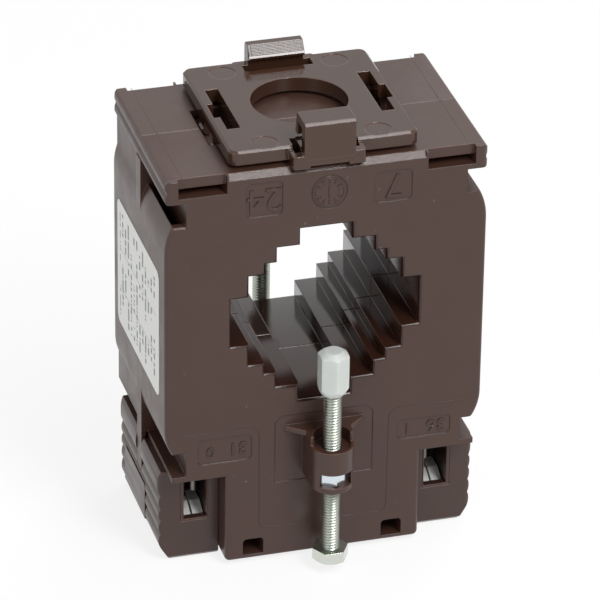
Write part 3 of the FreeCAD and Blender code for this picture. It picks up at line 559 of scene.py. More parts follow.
@dataclass(frozen=True)
class PlatedMetal:
    """Bright electroplated metal, such as zinc-plated steel or tinned copper.

    The eye sees a clear but slightly milky reflection, a faint cold to warm
    tint from the passivation, and fine handling lines.
    """

    name: str
    base: str
    warm: str
    roughness: float
    tint_mm: float
    line_mm: float
    line_height_mm: float
    edge_mm: float = 0.12
    metallic: float = 1.0

    def build(self) -> bpy.types.Material:
        """Builds the material's node tree.

        Returns:
            The finished material.
        """
        material, tree = new_material(self.name)
        spot = add_node(tree, "ShaderNodeTexCoord").outputs["Object"]
        tint = add_node(tree, "ShaderNodeTexNoise", {"Scale": 1 / (self.tint_mm * MM), "Detail": 3.0},
                        {"Vector": spot})
        colour = add_node(tree, "ShaderNodeMix", {6: linear(self.base), 7: linear(self.warm)},
                          {0: tint.outputs["Fac"]}, data_type="RGBA")
        haze = add_node(tree, "ShaderNodeMapRange",
                        {1: 0.25, 2: 0.75, 3: self.roughness * 0.7, 4: self.roughness * 1.4},
                        {0: tint.outputs["Fac"]})
        lines = add_node(tree, "ShaderNodeTexNoise",
                         {"Scale": 1 / (self.line_mm * MM), "Detail": 5.0, "Roughness": 0.65},
                         {"Vector": spot})
        edge = add_node(tree, "ShaderNodeBevel", {"Radius": self.edge_mm * MM}, samples=4)
        bump = add_node(tree, "ShaderNodeBump", {"Strength": 1.0, "Distance": self.line_height_mm * MM},
                        {"Height": lines.outputs["Fac"], "Normal": edge.outputs[0]})
        shader = add_node(tree, "ShaderNodeBsdfPrincipled", {"Metallic": self.metallic},
                          {"Base Color": colour.outputs[2], "Roughness": haze.outputs[0],
                           "Normal": bump.outputs[0]})
        add_node(tree, "ShaderNodeOutputMaterial", links={"Surface": shader.outputs[0]})
        return material


@dataclass(frozen=True)
class NaturalNylon:
    """Uncoloured moulded nylon: milky, slightly see-through, softly glossy."""

    name: str
    base: str
    deep: str
    roughness: float
    milk_mm: float = 3.0
    skin_mm: float = 0.7
    skin_height_mm: float = 0.015
    edge_mm: float = 0.35
    ior: float = 1.53
    glow: float = 0.6
    glow_mm: float = 2.2

    def build(self) -> bpy.types.Material:
        """Builds the material's node tree.

        Returns:
            The finished material.
        """
        material, tree = new_material(self.name)
        spot = add_node(tree, "ShaderNodeTexCoord").outputs["Object"]
        milk = add_node(tree, "ShaderNodeTexNoise", {"Scale": 1 / (self.milk_mm * MM), "Detail": 2.0},
                        {"Vector": spot})
        colour = add_node(tree, "ShaderNodeMix", {6: linear(self.base), 7: linear(self.deep)},
                          {0: milk.outputs["Fac"]}, data_type="RGBA")
        skin = add_node(tree, "ShaderNodeTexNoise", {"Scale": 1 / (self.skin_mm * MM), "Detail": 3.0},
                        {"Vector": spot})
        edge = add_node(tree, "ShaderNodeBevel", {"Radius": self.edge_mm * MM}, samples=6)
        bump = add_node(tree, "ShaderNodeBump", {"Strength": 1.0, "Distance": self.skin_height_mm * MM},
                        {"Height": skin.outputs["Fac"], "Normal": edge.outputs[0]})
        shader = add_node(tree, "ShaderNodeBsdfPrincipled",
                          {"IOR": self.ior, "Roughness": self.roughness, "Subsurface Weight": self.glow,
                           "Subsurface Radius": (1.0, 1.0, 0.9), "Subsurface Scale": self.glow_mm * MM},
                          {"Base Color": colour.outputs[2], "Normal": bump.outputs[0]})
        add_node(tree, "ShaderNodeOutputMaterial", links={"Surface": shader.outputs[0]})
        return material


@dataclass(frozen=True)
class PrintedFilm:
    """White polyester label film with lines of plain grey print.

    The print is rows of broken bars and holds no letters. The eye sees grey
    rows on a pale sheet with a soft sheen.
    """

    name: str
    film: str
    ink: str
    low_mm: tuple[float, float]
    high_mm: tuple[float, float]
    row_mm: float = 2.5
    row_fill: float = 0.22
    margin_mm: float = 2.2
    mark_mm: float = 0.45
    mark_gap: float = 0.30
    word_mm: float = 3.4
    word_gap: float = 0.38
    rules_mm: tuple[float, ...] = (9.5, 19.0, 28.5)
    rule_half_mm: float = 0.08
    skin_mm: float = 4.0
    skin_height_mm: float = 0.03

    def dice(
        self,
        tree: bpy.types.NodeTree,
        along: bpy.types.NodeSocket,
        seed: bpy.types.NodeSocket,
        length_mm: float,
        gap: float,
    ) -> bpy.types.NodeSocket:
        """Breaks a row of print into pieces of one length.

        Args:
            tree: Node tree of the material.
            along: Place along the row.
            seed: Number of the row.
            length_mm: Length of one piece.
            gap: Share of the pieces that are left blank.

        Returns:
            A socket that is 1 where there is print.
        """
        step = add_node(tree, "ShaderNodeMath", {1: 1 / (length_mm * MM)}, {0: along}, operation="MULTIPLY")
        cell = add_node(tree, "ShaderNodeMath", links={0: step.outputs[0]}, operation="FLOOR")
        spot = add_node(tree, "ShaderNodeCombineXYZ", {2: length_mm}, {0: cell.outputs[0], 1: seed})
        draw = add_node(tree, "ShaderNodeTexWhiteNoise", links={"Vector": spot.outputs[0]},
                        noise_dimensions="3D")
        return add_node(tree, "ShaderNodeMath", {1: gap}, {0: draw.outputs["Value"]},
                        operation="GREATER_THAN").outputs[0]

    def printed(
        self,
        tree: bpy.types.NodeTree,
        across: bpy.types.NodeSocket,
        along: bpy.types.NodeSocket,
    ) -> bpy.types.NodeSocket:
        """Adds the mask of the print.

        Args:
            tree: Node tree of the material.
            across: Place across the rows.
            along: Place along the rows.

        Returns:
            A socket that is 1 where there is print.
        """
        # Rows run along the height of the label, one every row_mm across it
        rows = add_node(tree, "ShaderNodeMath", {1: self.row_mm * MM}, {0: across}, operation="DIVIDE")
        row = add_node(tree, "ShaderNodeMath", links={0: rows.outputs[0]}, operation="FLOOR")
        part = add_node(tree, "ShaderNodeMath", links={0: rows.outputs[0]}, operation="FRACT")
        mask = add_node(tree, "ShaderNodeMath", {1: 0.5, 2: self.row_fill}, {0: part.outputs[0]},
                        operation="COMPARE")
        # Short marks in words, broken up differently in each row
        seed = add_node(tree, "ShaderNodeMath", {1: 0.371}, {0: row.outputs[0]}, operation="MULTIPLY")
        for length_mm, gap in ((self.mark_mm, self.mark_gap), (self.word_mm, self.word_gap)):
            pieces = self.dice(tree, along, seed.outputs[0], length_mm, gap)
            mask = add_node(tree, "ShaderNodeMath", links={0: mask.outputs[0], 1: pieces},
                            operation="MULTIPLY")
        for rule_mm in self.rules_mm:
            rule = add_node(tree, "ShaderNodeMath",
                            {1: (self.low_mm[1] + rule_mm) * MM, 2: self.rule_half_mm * MM}, {0: along},
                            operation="COMPARE")
            mask = add_node(tree, "ShaderNodeMath", links={0: mask.outputs[0], 1: rule.outputs[0]},
                            operation="MAXIMUM")
        for socket, low, high in zip((across, along), self.low_mm, self.high_mm):
            centre = (low + high) / 2 * MM
            reach = ((high - low) / 2 - self.margin_mm) * MM
            inside = add_node(tree, "ShaderNodeMath", {1: centre, 2: reach}, {0: socket}, operation="COMPARE")
            mask = add_node(tree, "ShaderNodeMath", links={0: mask.outputs[0], 1: inside.outputs[0]},
                            operation="MULTIPLY")
        return mask.outputs[0]

    def build(self) -> bpy.types.Material:
        """Builds the material's node tree.

        Returns:
            The finished material.
        """
        material, tree = new_material(self.name)
        spot = add_node(tree, "ShaderNodeTexCoord").outputs["Object"]
        axes = add_node(tree, "ShaderNodeSeparateXYZ", links={0: spot})
        colour = add_node(tree, "ShaderNodeMix", {6: linear(self.film), 7: linear(self.ink)},
                          {0: self.printed(tree, axes.outputs["Y"], axes.outputs["Z"])}, data_type="RGBA")
        skin = add_node(tree, "ShaderNodeTexNoise", {"Scale": 1 / (self.skin_mm * MM), "Detail": 2.0},
                        {"Vector": spot})
        bump = add_node(tree, "ShaderNodeBump", {"Strength": 1.0, "Distance": self.skin_height_mm * MM},
                        {"Height": skin.outputs["Fac"]})
        shader = add_node(tree, "ShaderNodeBsdfPrincipled", {"IOR": 1.5, "Roughness": 0.38},
                          {"Base Color": colour.outputs[2], "Normal": bump.outputs[0]})
        add_node(tree, "ShaderNodeOutputMaterial", links={"Surface": shader.outputs[0]})
        return material


@dataclass(frozen=True)
class RingPattern:
    """Finish whose pattern goes round the window, as on wound strip or wire.

    The pattern is worked out from the distance to the window's axis, or from
    the angle round it. The eye sees fine, even lines.
    """

    name: str
    base: str
    line: str
    axis_height_mm: float
    spacing: float
    by_angle: bool
    metallic: float
    roughness: float
    line_height_mm: float = 0.06

    def build(self) -> bpy.types.Material:
        """Builds the material's node tree.

        Returns:
            The finished material.
        """
        material, tree = new_material(self.name)
        spot = add_node(tree, "ShaderNodeTexCoord").outputs["Object"]
        axes = add_node(tree, "ShaderNodeSeparateXYZ", links={0: spot})
        rise = add_node(tree, "ShaderNodeMath", {1: self.axis_height_mm * MM}, {0: axes.outputs["Z"]},
                        operation="SUBTRACT")
        if self.by_angle:
            turn = add_node(tree, "ShaderNodeMath", links={0: axes.outputs["X"], 1: rise.outputs[0]},
                            operation="ARCTAN2")
            phase = add_node(tree, "ShaderNodeMath", {1: 2 * math.pi / math.radians(self.spacing)},
                             {0: turn.outputs[0]}, operation="MULTIPLY")
        else:
            flat = add_node(tree, "ShaderNodeCombineXYZ", links={0: axes.outputs["X"], 1: rise.outputs[0]})
            reach = add_node(tree, "ShaderNodeVectorMath", links={0: flat.outputs[0]}, operation="LENGTH")
            phase = add_node(tree, "ShaderNodeMath", {1: 2 * math.pi / (self.spacing * MM)},
                             {0: reach.outputs["Value"]}, operation="MULTIPLY")
        swing = add_node(tree, "ShaderNodeMath", links={0: phase.outputs[0]}, operation="SINE")
        level = add_node(tree, "ShaderNodeMapRange", {1: -1.0, 2: 1.0, 3: 0.0, 4: 1.0},
                         {0: swing.outputs[0]})
        colour = add_node(tree, "ShaderNodeMix", {6: linear(self.line), 7: linear(self.base)},
                          {0: level.outputs[0]}, data_type="RGBA")
        bump = add_node(tree, "ShaderNodeBump", {"Strength": 1.0, "Distance": self.line_height_mm * MM},
                        {"Height": level.outputs[0]})
        shader = add_node(tree, "ShaderNodeBsdfPrincipled",
                          {"Metallic": self.metallic, "Roughness": self.roughness},
                          {"Base Color": colour.outputs[2], "Normal": bump.outputs[0]})
        add_node(tree, "ShaderNodeOutputMaterial", links={"Surface": shader.outputs[0]})
        return material


@dataclass(frozen=True)
class Palette:
    """All finishes of the transformer, built once."""

    housing: bpy.types.Material
    adapter: bpy.types.Material
    ribs: bpy.types.Material
    cover: bpy.types.Material
    carrier: bpy.types.Material
    zinc: bpy.types.Material
    head: bpy.types.Material
    nut: bpy.types.Material
    dark: bpy.types.Material
    tin: bpy.types.Material
    nylon: bpy.types.Material
    film: bpy.types.Material
    core: bpy.types.Material
    wrap: bpy.types.Material
    enamel: bpy.types.Material
    sleeve: bpy.types.Material

    @classmethod
    def build(cls) -> "Palette":
        """Builds every finish.

        Returns:
            The palette.
        """
        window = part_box("core")
        axis_height = (window[0].z + window[1].z) / 2 / MM
        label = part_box("rating_label")
        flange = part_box("front_shell")[1].z / MM
        # The fourth colour of each moulded plastic is its painted edge line, painted light at the edges
        housing = MouldedPlastic(
            "housing_plastic", "#3A251D", "#412B23", "#B0A498", "#8A5540", roughness=0.37, smudge=0.05,
            grain_mm=0.22, grain_height_mm=0.010, wave_height_mm=0.05, edge_mm=0.28, scuff_cover=1.0,
            polish_and_shade=(axis_height, 22.2, 22.3), coarse=(-21.15, flange - 1.35), plain_y=-HALF_DEPTH_MM)
        adapter = MouldedPlastic(
            "adapter_plastic", "#3A261B", "#402A20", "#8C7F75", "#7C4E3E", roughness=0.09, smudge=0.03,
            grain_mm=0.30, grain_height_mm=0.002, wave_height_mm=0.05, edge_mm=0.3, scuff_cover=0.6)
        ribs = MouldedPlastic(
            "ribbed_ramp_plastic", "#3A261B", "#402A20", "#8C7F75", "#3A261B", roughness=0.11, smudge=0.02,
            grain_mm=0.30, grain_height_mm=0.0, wave_height_mm=0.0, edge_mm=0.02, scuff_cover=0.1,
            painted_edge_glow=0.0, lean=RAMP_FACING)
        cover = MouldedPlastic(
            "cover_plastic", "#37241E", "#3E2A24", "#8C7F75", "#7C4E3E", roughness=0.32, smudge=0.05,
            grain_mm=0.22, grain_height_mm=0.010, wave_height_mm=0.04, edge_mm=0.22, scuff_cover=0.8)
        carrier = MouldedPlastic(
            "carrier_plastic", "#2A1C18", "#30211C", "#5A504A", "#5C3A2E", roughness=0.36, smudge=0.04,
            grain_mm=0.22, grain_height_mm=0.008, wave_height_mm=0.02, edge_mm=0.15, scuff_cover=0.2)
        sleeve = MouldedPlastic(
            "lead_sleeve", "#7A1E1A", "#8A2620", "#B06A60", "#8A2620", roughness=0.45, smudge=0.05,
            grain_mm=0.3, grain_height_mm=0.004, wave_height_mm=0.02, edge_mm=0.1, scuff_cover=0.1)
        film = PrintedFilm("label_film", "#DADBD7", "#6A6E72",
                           (label[0].y / MM, label[0].z / MM), (label[1].y / MM, label[1].z / MM))
        return cls(
            housing=housing.build(),
            adapter=adapter.build(),
            ribs=ribs.build(),
            cover=cover.build(),
            carrier=carrier.build(),
            zinc=PlatedMetal("zinc_plated_steel", "#A9B1AB", "#B1B3A5", 0.33, 2.5, 0.25, 0.004).build(),
            # The head's zinc is painted lighter than the thread's: painted light on the same plating
            head=PlatedMetal("zinc_head_painted_light", "#D3D9D4", "#D2D4C8", 0.24, 2.5, 0.25, 0.003).build(),
            nut=PlatedMetal("bright_nut_plating", "#D3DEE6", "#DAE2E6", 0.16, 2.0, 0.25, 0.003).build(),
            # The terminal screws' steel is painted darker as shade, standing in for the dark chamber that
            # they reflect
            dark=PlatedMetal("terminal_steel_painted_shade", "#6E6C6A", "#7C7873", 0.24, 2.0, 0.25, 0.003).build(),
            tin=PlatedMetal("tinned_copper", "#F6F6F3", "#ECECE8", 0.45, 1.2, 0.18, 0.006,
                            metallic=0.2).build(),
            nylon=NaturalNylon("natural_nylon", "#C6C9C5", "#BABFBC", 0.33).build(),
            film=film.build(),
            core=RingPattern("wound_core_strip", "#8A8C8E", "#55585B", axis_height, 0.6, False, 1.0,
                             0.42).build(),
            wrap=RingPattern("wrap_insulation", "#CBB98D", "#B8A579", axis_height, 4.0, True, 0.0,
                             0.55).build(),
            enamel=RingPattern("enamelled_wire", "#A9512A", "#5E2412", axis_height, 1.2, True, 0.9,
                               0.30).build(),
            sleeve=sleeve.build(),
        )


# Sub-assemblies

@dataclass
class Housing:
    """The two housing shells and the moulded marks on the front one.

    Places are in mm. A numeral has its text, place across, height and size. The
    low mould line runs along the foot, round a corner and up the panel beside
    the boss, and is the same on both sides.
    """

    palette: Palette
    front_y: float = -HALF_DEPTH_MM
    line_sink: float = 0.035
    line_height: float = 0.10
    crease_height: float = 0.06
    crease_sink: float = 0.02
    crease_ends: tuple[tuple[float, float], ...] = ((31.4, -21.1), (31.5, 22.0))
    panel_start: tuple[float, float] = (4.0, 8.75)
    panel_corner: tuple[float, float] = (12.9, 10.25)
    panel_round: float = 1.5
    panel_rise: tuple[tuple[float, float], ...] = ((14.6, 32.15), (14.9, 33.55), (16.2, 34.65),
                                                   (31.2, 34.45))
    field_depth: float = 0.22
    numeral_height: float = 0.24
    numeral_places: tuple[tuple[str, float, float, float], ...] = (
        ("24", -13.9, 89.9, 8.0), ("7", 14.6, 89.7, 8.0), ("31", -19.3, 29.8, 4.4),
        ("0", -25.4, 29.6, 3.6), ("36", 25.4, 28.9, 4.4), ("1", 18.9, 28.9, 3.6))
    dial_spot: tuple[float, float] = (0.3, 89.9)
    dial_radius: float = 3.2
    dial_wall: float = 0.12
    tick_count: int = 12
    tick_ring: float = 0.78
    tick: tuple[float, float, float] = (0.9, 0.24, 0.3)
    pointer: tuple[float, float, float] = (0.34, 3.0, 0.3)

    def build(self) -> None:
        """Builds both shells and every mark."""
        for node in ("front_shell", "rear_shell"):
            shell = dress(merged_copy(node, node + "_skin"), self.palette.housing)
            place(shell, Body.HOUSING, node)
        self.mould_lines()
        self.numerals()
        self.date_dial()

    def line(self, name: str, points: list[tuple[float, float, float]], height: float) -> None:
        """Lays one fine mould line along points on the surface.

        Args:
            name: Name of the piece.
            points: Corners of the line.
            height: How far the line stands out of the surface.
        """
        curve = bpy.data.curves.new(name, "CURVE")
        curve.dimensions = "3D"
        curve.bevel_depth = height * MM
        curve.bevel_resolution = 1
        spline = curve.splines.new("POLY")
        spline.points.add(len(points) - 1)
        for point, corner in zip(spline.points, points):
            point.co = (corner[0] * MM, corner[1] * MM, corner[2] * MM, 1.0)
        piece = dress(new_object(name, meshed(name, curve)), self.palette.housing)
        place(piece, Body.HOUSING)

    def panel_turn(self) -> list[tuple[float, float]]:
        """Works out the points of the low line's quarter turn.

        Returns:
            The points, across and up.
        """
        angles = [math.radians(15 * i - 90) for i in range(7)]
        across, up = self.panel_corner
        size = self.panel_round
        return [(across + size * math.cos(a), up + size * math.sin(a)) for a in angles]

    def mould_lines(self) -> None:
        """Faint outlines of the mould inserts on the front face and on the flange."""
        depth = self.front_y + self.line_sink
        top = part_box("front_shell")[1].z / MM - self.crease_sink
        for side, name in ((-1, "left"), (1, "right")):
            outline = [self.panel_start, *self.panel_turn(), *self.panel_rise]
            self.line("mould_line_low_" + name, [(side * x, depth, z) for x, z in outline], self.line_height)
            crease = [(side * x, y, top) for x, y in self.crease_ends]
            self.line("flange_crease_" + name, crease, self.crease_height)

    def numerals(self) -> None:
        """Plain numerals in the marked places, turned as the photo has them."""
        upright = Matrix.Rotation(math.radians(90), 4, "X") @ Matrix.Rotation(math.radians(180), 4, "Z")
        for digits, x, z, size in self.numeral_places:
            name = "numeral_" + digits
            curve = bpy.data.curves.new(name, "FONT")
            curve.body = digits
            curve.align_x = "CENTER"
            curve.align_y = "CENTER"
            curve.size = size * MM
            curve.extrude = self.numeral_height * MM
            mesh = meshed(name, curve)
            spot = Vector((x, self.front_y + self.field_depth, z)) * MM
            mesh.transform(Matrix.Translation(spot) @ upright)
            place(dress(new_object(name, mesh), self.palette.housing), Body.HOUSING)

    def date_dial(self) -> None:
        """Mould date dial: a ring, twelve ticks repeated round it and a pointer."""
        tree, given = new_tree("date_dial", {"Radius": "Float", "Ticks": "Int", "Wall": "Float",
                                             "Material": "Material"})
        ring = add_node(tree, "GeometryNodeCurvePrimitiveCircle", {"Resolution": 64},
                        {"Radius": given.outputs["Radius"]})
        wire = add_node(tree, "GeometryNodeCurvePrimitiveCircle", {"Resolution": 8},
                        {"Radius": given.outputs["Wall"]})
        band = add_node(tree, "GeometryNodeCurveToMesh", links={0: ring.outputs[0], 1: wire.outputs[0]})
        seat = add_node(tree, "ShaderNodeMath", {1: self.tick_ring}, {0: given.outputs["Radius"]},
                        operation="MULTIPLY")
        spread = add_node(tree, "GeometryNodeCurvePrimitiveCircle",
                          links={"Resolution": given.outputs["Ticks"], "Radius": seat.outputs[0]})
        tick = add_node(tree, "GeometryNodeMeshCube", {"Size": tuple(side * MM for side in self.tick)})
        dots = add_node(tree, "GeometryNodeCurveToPoints",
                        links={0: spread.outputs[0], "Count": given.outputs["Ticks"]})
        turned = add_node(tree, "FunctionNodeAlignEulerToVector", links={"Vector": dots.outputs["Normal"]},
                          axis="X")
        copies = add_node(tree, "GeometryNodeInstanceOnPoints",
                          links={0: dots.outputs[0], "Instance": tick.outputs[0],
                                 "Rotation": turned.outputs[0]})
        pointer = add_node(tree, "GeometryNodeMeshCube", {"Size": tuple(side * MM for side in self.pointer)})
        both = add_node(tree, "GeometryNodeJoinGeometry")
        for source in (band, copies, pointer):
            tree.links.new(source.outputs[0], both.inputs[0])
        close_tree(tree, both.outputs[0], given.outputs["Material"])
        piece = grown("date_dial", tree, {"Radius": self.dial_radius * MM, "Ticks": self.tick_count,
                                          "Wall": self.dial_wall * MM, "Material": self.palette.housing})
        spot = Vector((self.dial_spot[0], self.front_y, self.dial_spot[1])) * MM
        piece.data.transform(Matrix.Translation(spot) @ Matrix.Rotation(math.radians(90), 4, "X"))
        shade(piece.data, 40)
        place(piece, Body.HOUSING)


@dataclass
class RailAdapter:
    """The plate with its two hooks on top of the flange."""

    palette: Palette
    crease_deg: float = 28.0
    rib_crease_deg: float = 5.0
    ramp_low: tuple[float, float] = (17.5, 102.4)
    ramp_high: tuple[float, float] = (19.8, 104.9)
    same_way: float = 0.995

    def build(self) -> None:
        """Dresses the adapter as a merged copy of its node."""
        piece = dress(merged_copy("rail_adapter", "rail_adapter_skin", self.crease_deg), self.palette.adapter)
        self.finish_ramp(piece.data)
        place(piece, Body.HOUSING, "rail_adapter")

    def on_ramp(self, spot: Vector) -> bool:
        """Tells whether a place is on the ribbed ramp of the rear hook."""
        y, z = spot.y / MM, spot.z / MM
        return self.ramp_low[0] < y < self.ramp_high[0] and self.ramp_low[1] < z < self.ramp_high[1]

    def finish_ramp(self, mesh: bpy.types.Mesh) -> None:
        """Keeps the fine ribs on the rear hook's ramp crisp and glossy, and its flat border matt.

        Args:
            mesh: Mesh of the adapter.
        """
        mesh.materials.append(self.palette.ribs)
        mesh.materials.append(self.palette.cover)
        border = Vector(RAMP_FACING).normalized()
        limit = math.radians(self.rib_crease_deg)
        with editing(mesh) as work:
            for edge in work.edges:
                if self.on_ramp((edge.verts[0].co + edge.verts[1].co) / 2):
                    edge.smooth = len(edge.link_faces) == 2 and edge.calc_face_angle(0.0) < limit
            for face in work.faces:
                if self.on_ramp(face.calc_center_median()):
                    face.material_index = 2 if face.normal.dot(border) > self.same_way else 1


@dataclass
class Terminals:
    """Covers, carriers and the metal parts of both terminal blocks."""

    palette: Palette
    plate_crease_deg: float = 12.0
    metal_crease_deg: float = 32.0

    def build(self) -> None:
        """Dresses both sides."""
        metal = (("contact_plates_", "tinned_metal", self.plate_crease_deg, self.palette.tin),
                 ("terminal_saddles_", "zinc_steel", self.metal_crease_deg, self.palette.zinc),
                 # The terminal screws get the darker steel, painted shade of the chamber round them
                 ("terminal_screws_", "zinc_steel", self.metal_crease_deg, self.palette.dark))
        for side, body in (("left", Body.LEFT_COVER), ("right", Body.RIGHT_COVER)):
            node = "terminal_cover_" + side
            place(dress(merged_copy(node, "cover_skin_" + side), self.palette.cover), body,
                  node)
            node = "terminal_carrier_" + side
            place(dress(merged_copy(node, "carrier_skin_" + side), self.palette.carrier), Body.HOUSING,
                  node)
            for kind, slot, crease_deg, finish in metal:
                piece = dress(merged_copy(kind + side, kind + "bright_" + side, crease_deg), finish)
                place(piece, Body.HOUSING, kind + side)


@dataclass
class ClampSet:
    """One clamp screw with its rolled thread, its nut and its nylon cap."""

    palette: Palette
    side: str
    screw_body: Body
    cap_body: Body
    pitch_mm: float = 0.7
    crest_mm: float = 2.0
    root_mm: float = 1.58
    steps: int = 28
    rows: int = 7
    head_mm: float = 2.8
    sunk_mm: float = 0.5
    tip_mm: float = 0.35
    crease_deg: float = 38.0

    def build(self) -> None:
        """Builds the threaded screw and dresses the nut and the cap."""
        self.screw()
        nut = dress(merged_copy("nut_" + self.side, "hex_nut_" + self.side), self.palette.nut)
        place(nut, Body.HOUSING, "nut_" + self.side)
        cap = dress(merged_copy("screw_cap_" + self.side, "nylon_cap_" + self.side), self.palette.nylon)
        place(cap, self.cap_body, "screw_cap_" + self.side)

    def thread_tree(self) -> bpy.types.NodeTree:
        """Builds the tree that winds a grid into a rolled thread.

        Returns:
            The tree.
        """
        tree, given = new_tree("rolled_thread_" + self.side, {
            "Turns": "Float", "Steps": "Int", "Pitch": "Float", "Crest": "Float", "Root": "Float",
            "Material": "Material"})
        count = add_node(tree, "ShaderNodeMath", links={0: given.outputs["Turns"], 1: given.outputs["Steps"]},
                         operation="MULTIPLY")
        sheet = add_node(tree, "GeometryNodeMeshGrid",
                         {"Size X": 1.0, "Size Y": 1.0, "Vertices Y": self.rows},
                         {"Vertices X": count.outputs[0]})
        spot = add_node(tree, "GeometryNodeInputPosition")
        axes = add_node(tree, "ShaderNodeSeparateXYZ", links={0: spot.outputs[0]})
        share = add_node(tree, "ShaderNodeMath", {1: 0.5}, {0: axes.outputs["X"]}, operation="ADD")
        turn = add_node(tree, "ShaderNodeMath", links={0: share.outputs[0], 1: given.outputs["Turns"]},
                        operation="MULTIPLY")
        angle = add_node(tree, "ShaderNodeMath", {1: 2 * math.pi}, {0: turn.outputs[0]},
                         operation="MULTIPLY")
        # Across one pitch the flank rises from the root to a narrow crest and falls again
        away = add_node(tree, "ShaderNodeMath", links={0: axes.outputs["Y"]}, operation="ABSOLUTE")
        rise = add_node(tree, "ShaderNodeMapRange", {1: 0.42, 2: 0.10},
                        {0: away.outputs[0], 3: given.outputs["Root"], 4: given.outputs["Crest"]})
        level = add_node(tree, "ShaderNodeMath", links={0: turn.outputs[0], 1: axes.outputs["Y"]},
                         operation="ADD")
        height = add_node(tree, "ShaderNodeMath", links={0: level.outputs[0], 1: given.outputs["Pitch"]},
                          operation="MULTIPLY")
        goal = add_node(tree, "ShaderNodeCombineXYZ", links={2: height.outputs[0]})
        for axis, wave in enumerate(("COSINE", "SINE")):
            swing = add_node(tree, "ShaderNodeMath", links={0: angle.outputs[0]}, operation=wave)
            reach = add_node(tree, "ShaderNodeMath", links={0: swing.outputs[0], 1: rise.outputs[0]},
                             operation="MULTIPLY")
            tree.links.new(reach.outputs[0], goal.inputs[axis])
        wound = add_node(tree, "GeometryNodeSetPosition",
                         links={"Geometry": sheet.outputs[0], "Position": goal.outputs[0]})
        sewn = add_node(tree, "GeometryNodeMergeByDistance", {"Distance": SLIVER_M}, {0: wound.outputs[0]})
        close_tree(tree, sewn.outputs[0], given.outputs["Material"])
        return tree

    def screw(self) -> None:
        """Joins the head from the CAD node to a wound thread."""
        node = "clamp_screw_" + self.side
        low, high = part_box(node)
        middle = (low + high) / 2
        head_top = low.z + self.head_mm * MM
        thread_low = head_top - self.sunk_mm * MM
        turns = (high.z - self.tip_mm * MM - thread_low) / (self.pitch_mm * MM)
        piece = grown("threaded_screw_" + self.side, self.thread_tree(), {
            "Turns": turns, "Steps": self.steps, "Pitch": self.pitch_mm * MM,
            "Crest": self.crest_mm * MM, "Root": self.root_mm * MM, "Material": self.palette.zinc})
        piece.data.transform(Matrix.Translation(Vector((middle.x, middle.y, thread_low))))
        work = bmesh.new()
        work.from_mesh(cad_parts[node].data)
        bmesh.ops.remove_doubles(work, verts=work.verts, dist=MERGE_M)
        shank = []
        for face in work.faces:
            centre = face.calc_center_median()
            reach = math.hypot(centre.x - middle.x, centre.y - middle.y)
            if centre.z > head_top + 0.05 * MM and reach < (self.crest_mm + 0.1) * MM:
                shank.append(face)
        bmesh.ops.delete(work, geom=shank, context="FACES")
        bmesh.ops.holes_fill(work, edges=work.edges, sides=0)
        work.from_mesh(piece.data)
        bmesh.ops.recalc_face_normals(work, faces=work.faces)
        work.to_mesh(piece.data)
        work.free()
        shade(piece.data, self.crease_deg)
        dress(piece, self.palette.zinc)
        # The head gets the lighter zinc: painted light, the plating is the thread's
        piece.data.materials.append(self.palette.head)
        for face in piece.data.polygons:
            face.material_index = 1 if face.center.z < head_top else 0
        place(piece, self.screw_body, node)


@dataclass
class Active:
    """Core, insulation, winding, leads and the label."""

    palette: Palette

    def build(self) -> None:
        """Dresses the inner parts and the label."""
        rows = (("core", "core_steel", self.palette.core), ("core_wraps", "insulation", self.palette.wrap),
                ("secondary_winding", "winding_enamel", self.palette.enamel),
                ("winding_lead_left", "lead_sleeve", self.palette.sleeve),
                ("winding_lead_right", "lead_sleeve", self.palette.sleeve),
                ("rating_label", "label_film", self.palette.film))
        for node, slot, finish in rows:
            piece = dress(merged_copy(node, node + "_skin"), finish)
            place(piece, Body.HOUSING, node)


# Studio

@dataclass(frozen=True)
class PhotoCamera:
    """Camera that sees the object as the photograph does.

    The angles, distance and focal length come from a camera model fitted to the
    object's symmetric features.
    """

    azimuth_deg: float = 16.33
    elevation_deg: float = 29.52
    roll_deg: float = 0.84
    focal_px: float = 4741.4
    shift_x_mm: float = 5.568
    shift_y_mm: float = -2.462
    distance_mm: float = 1011.6
    origin_mm: tuple[float, float, float] = (0.0, -HALF_DEPTH_MM, 60.95)
    sensor_mm: float = 36.0
    clip_m: tuple[float, float] = (0.05, 20.0)

    def build(self) -> None:
        """Makes the camera and sets it as the scene's."""
        turn, rise, roll = (math.radians(a) for a in (self.azimuth_deg, self.elevation_deg, self.roll_deg))
        right = Vector((math.cos(turn), -math.sin(turn), 0.0))
        back = Vector((-math.sin(turn) * math.cos(rise), -math.cos(turn) * math.cos(rise), math.sin(rise)))
        up = back.cross(right)
        tilted_right = math.cos(roll) * right + math.sin(roll) * up
        tilted_up = -math.sin(roll) * right + math.cos(roll) * up
        spot = back * self.distance_mm - tilted_right * self.shift_x_mm - tilted_up * self.shift_y_mm
        spot = (spot + Vector(self.origin_mm)) * MM
        data = bpy.data.cameras.new("photo_camera")
        data.sensor_width = self.sensor_mm
        data.lens = self.focal_px / PHOTO_PX * self.sensor_mm
        data.clip_start, data.clip_end = self.clip_m
        camera = bpy.data.objects.new("photo_camera", data)
        axes = Matrix((tilted_right, tilted_up, back)).transposed().to_4x4()
        camera.matrix_world = Matrix.Translation(spot) @ axes
        bpy.context.scene.collection.objects.link(camera)
        bpy.context.scene.camera = camera


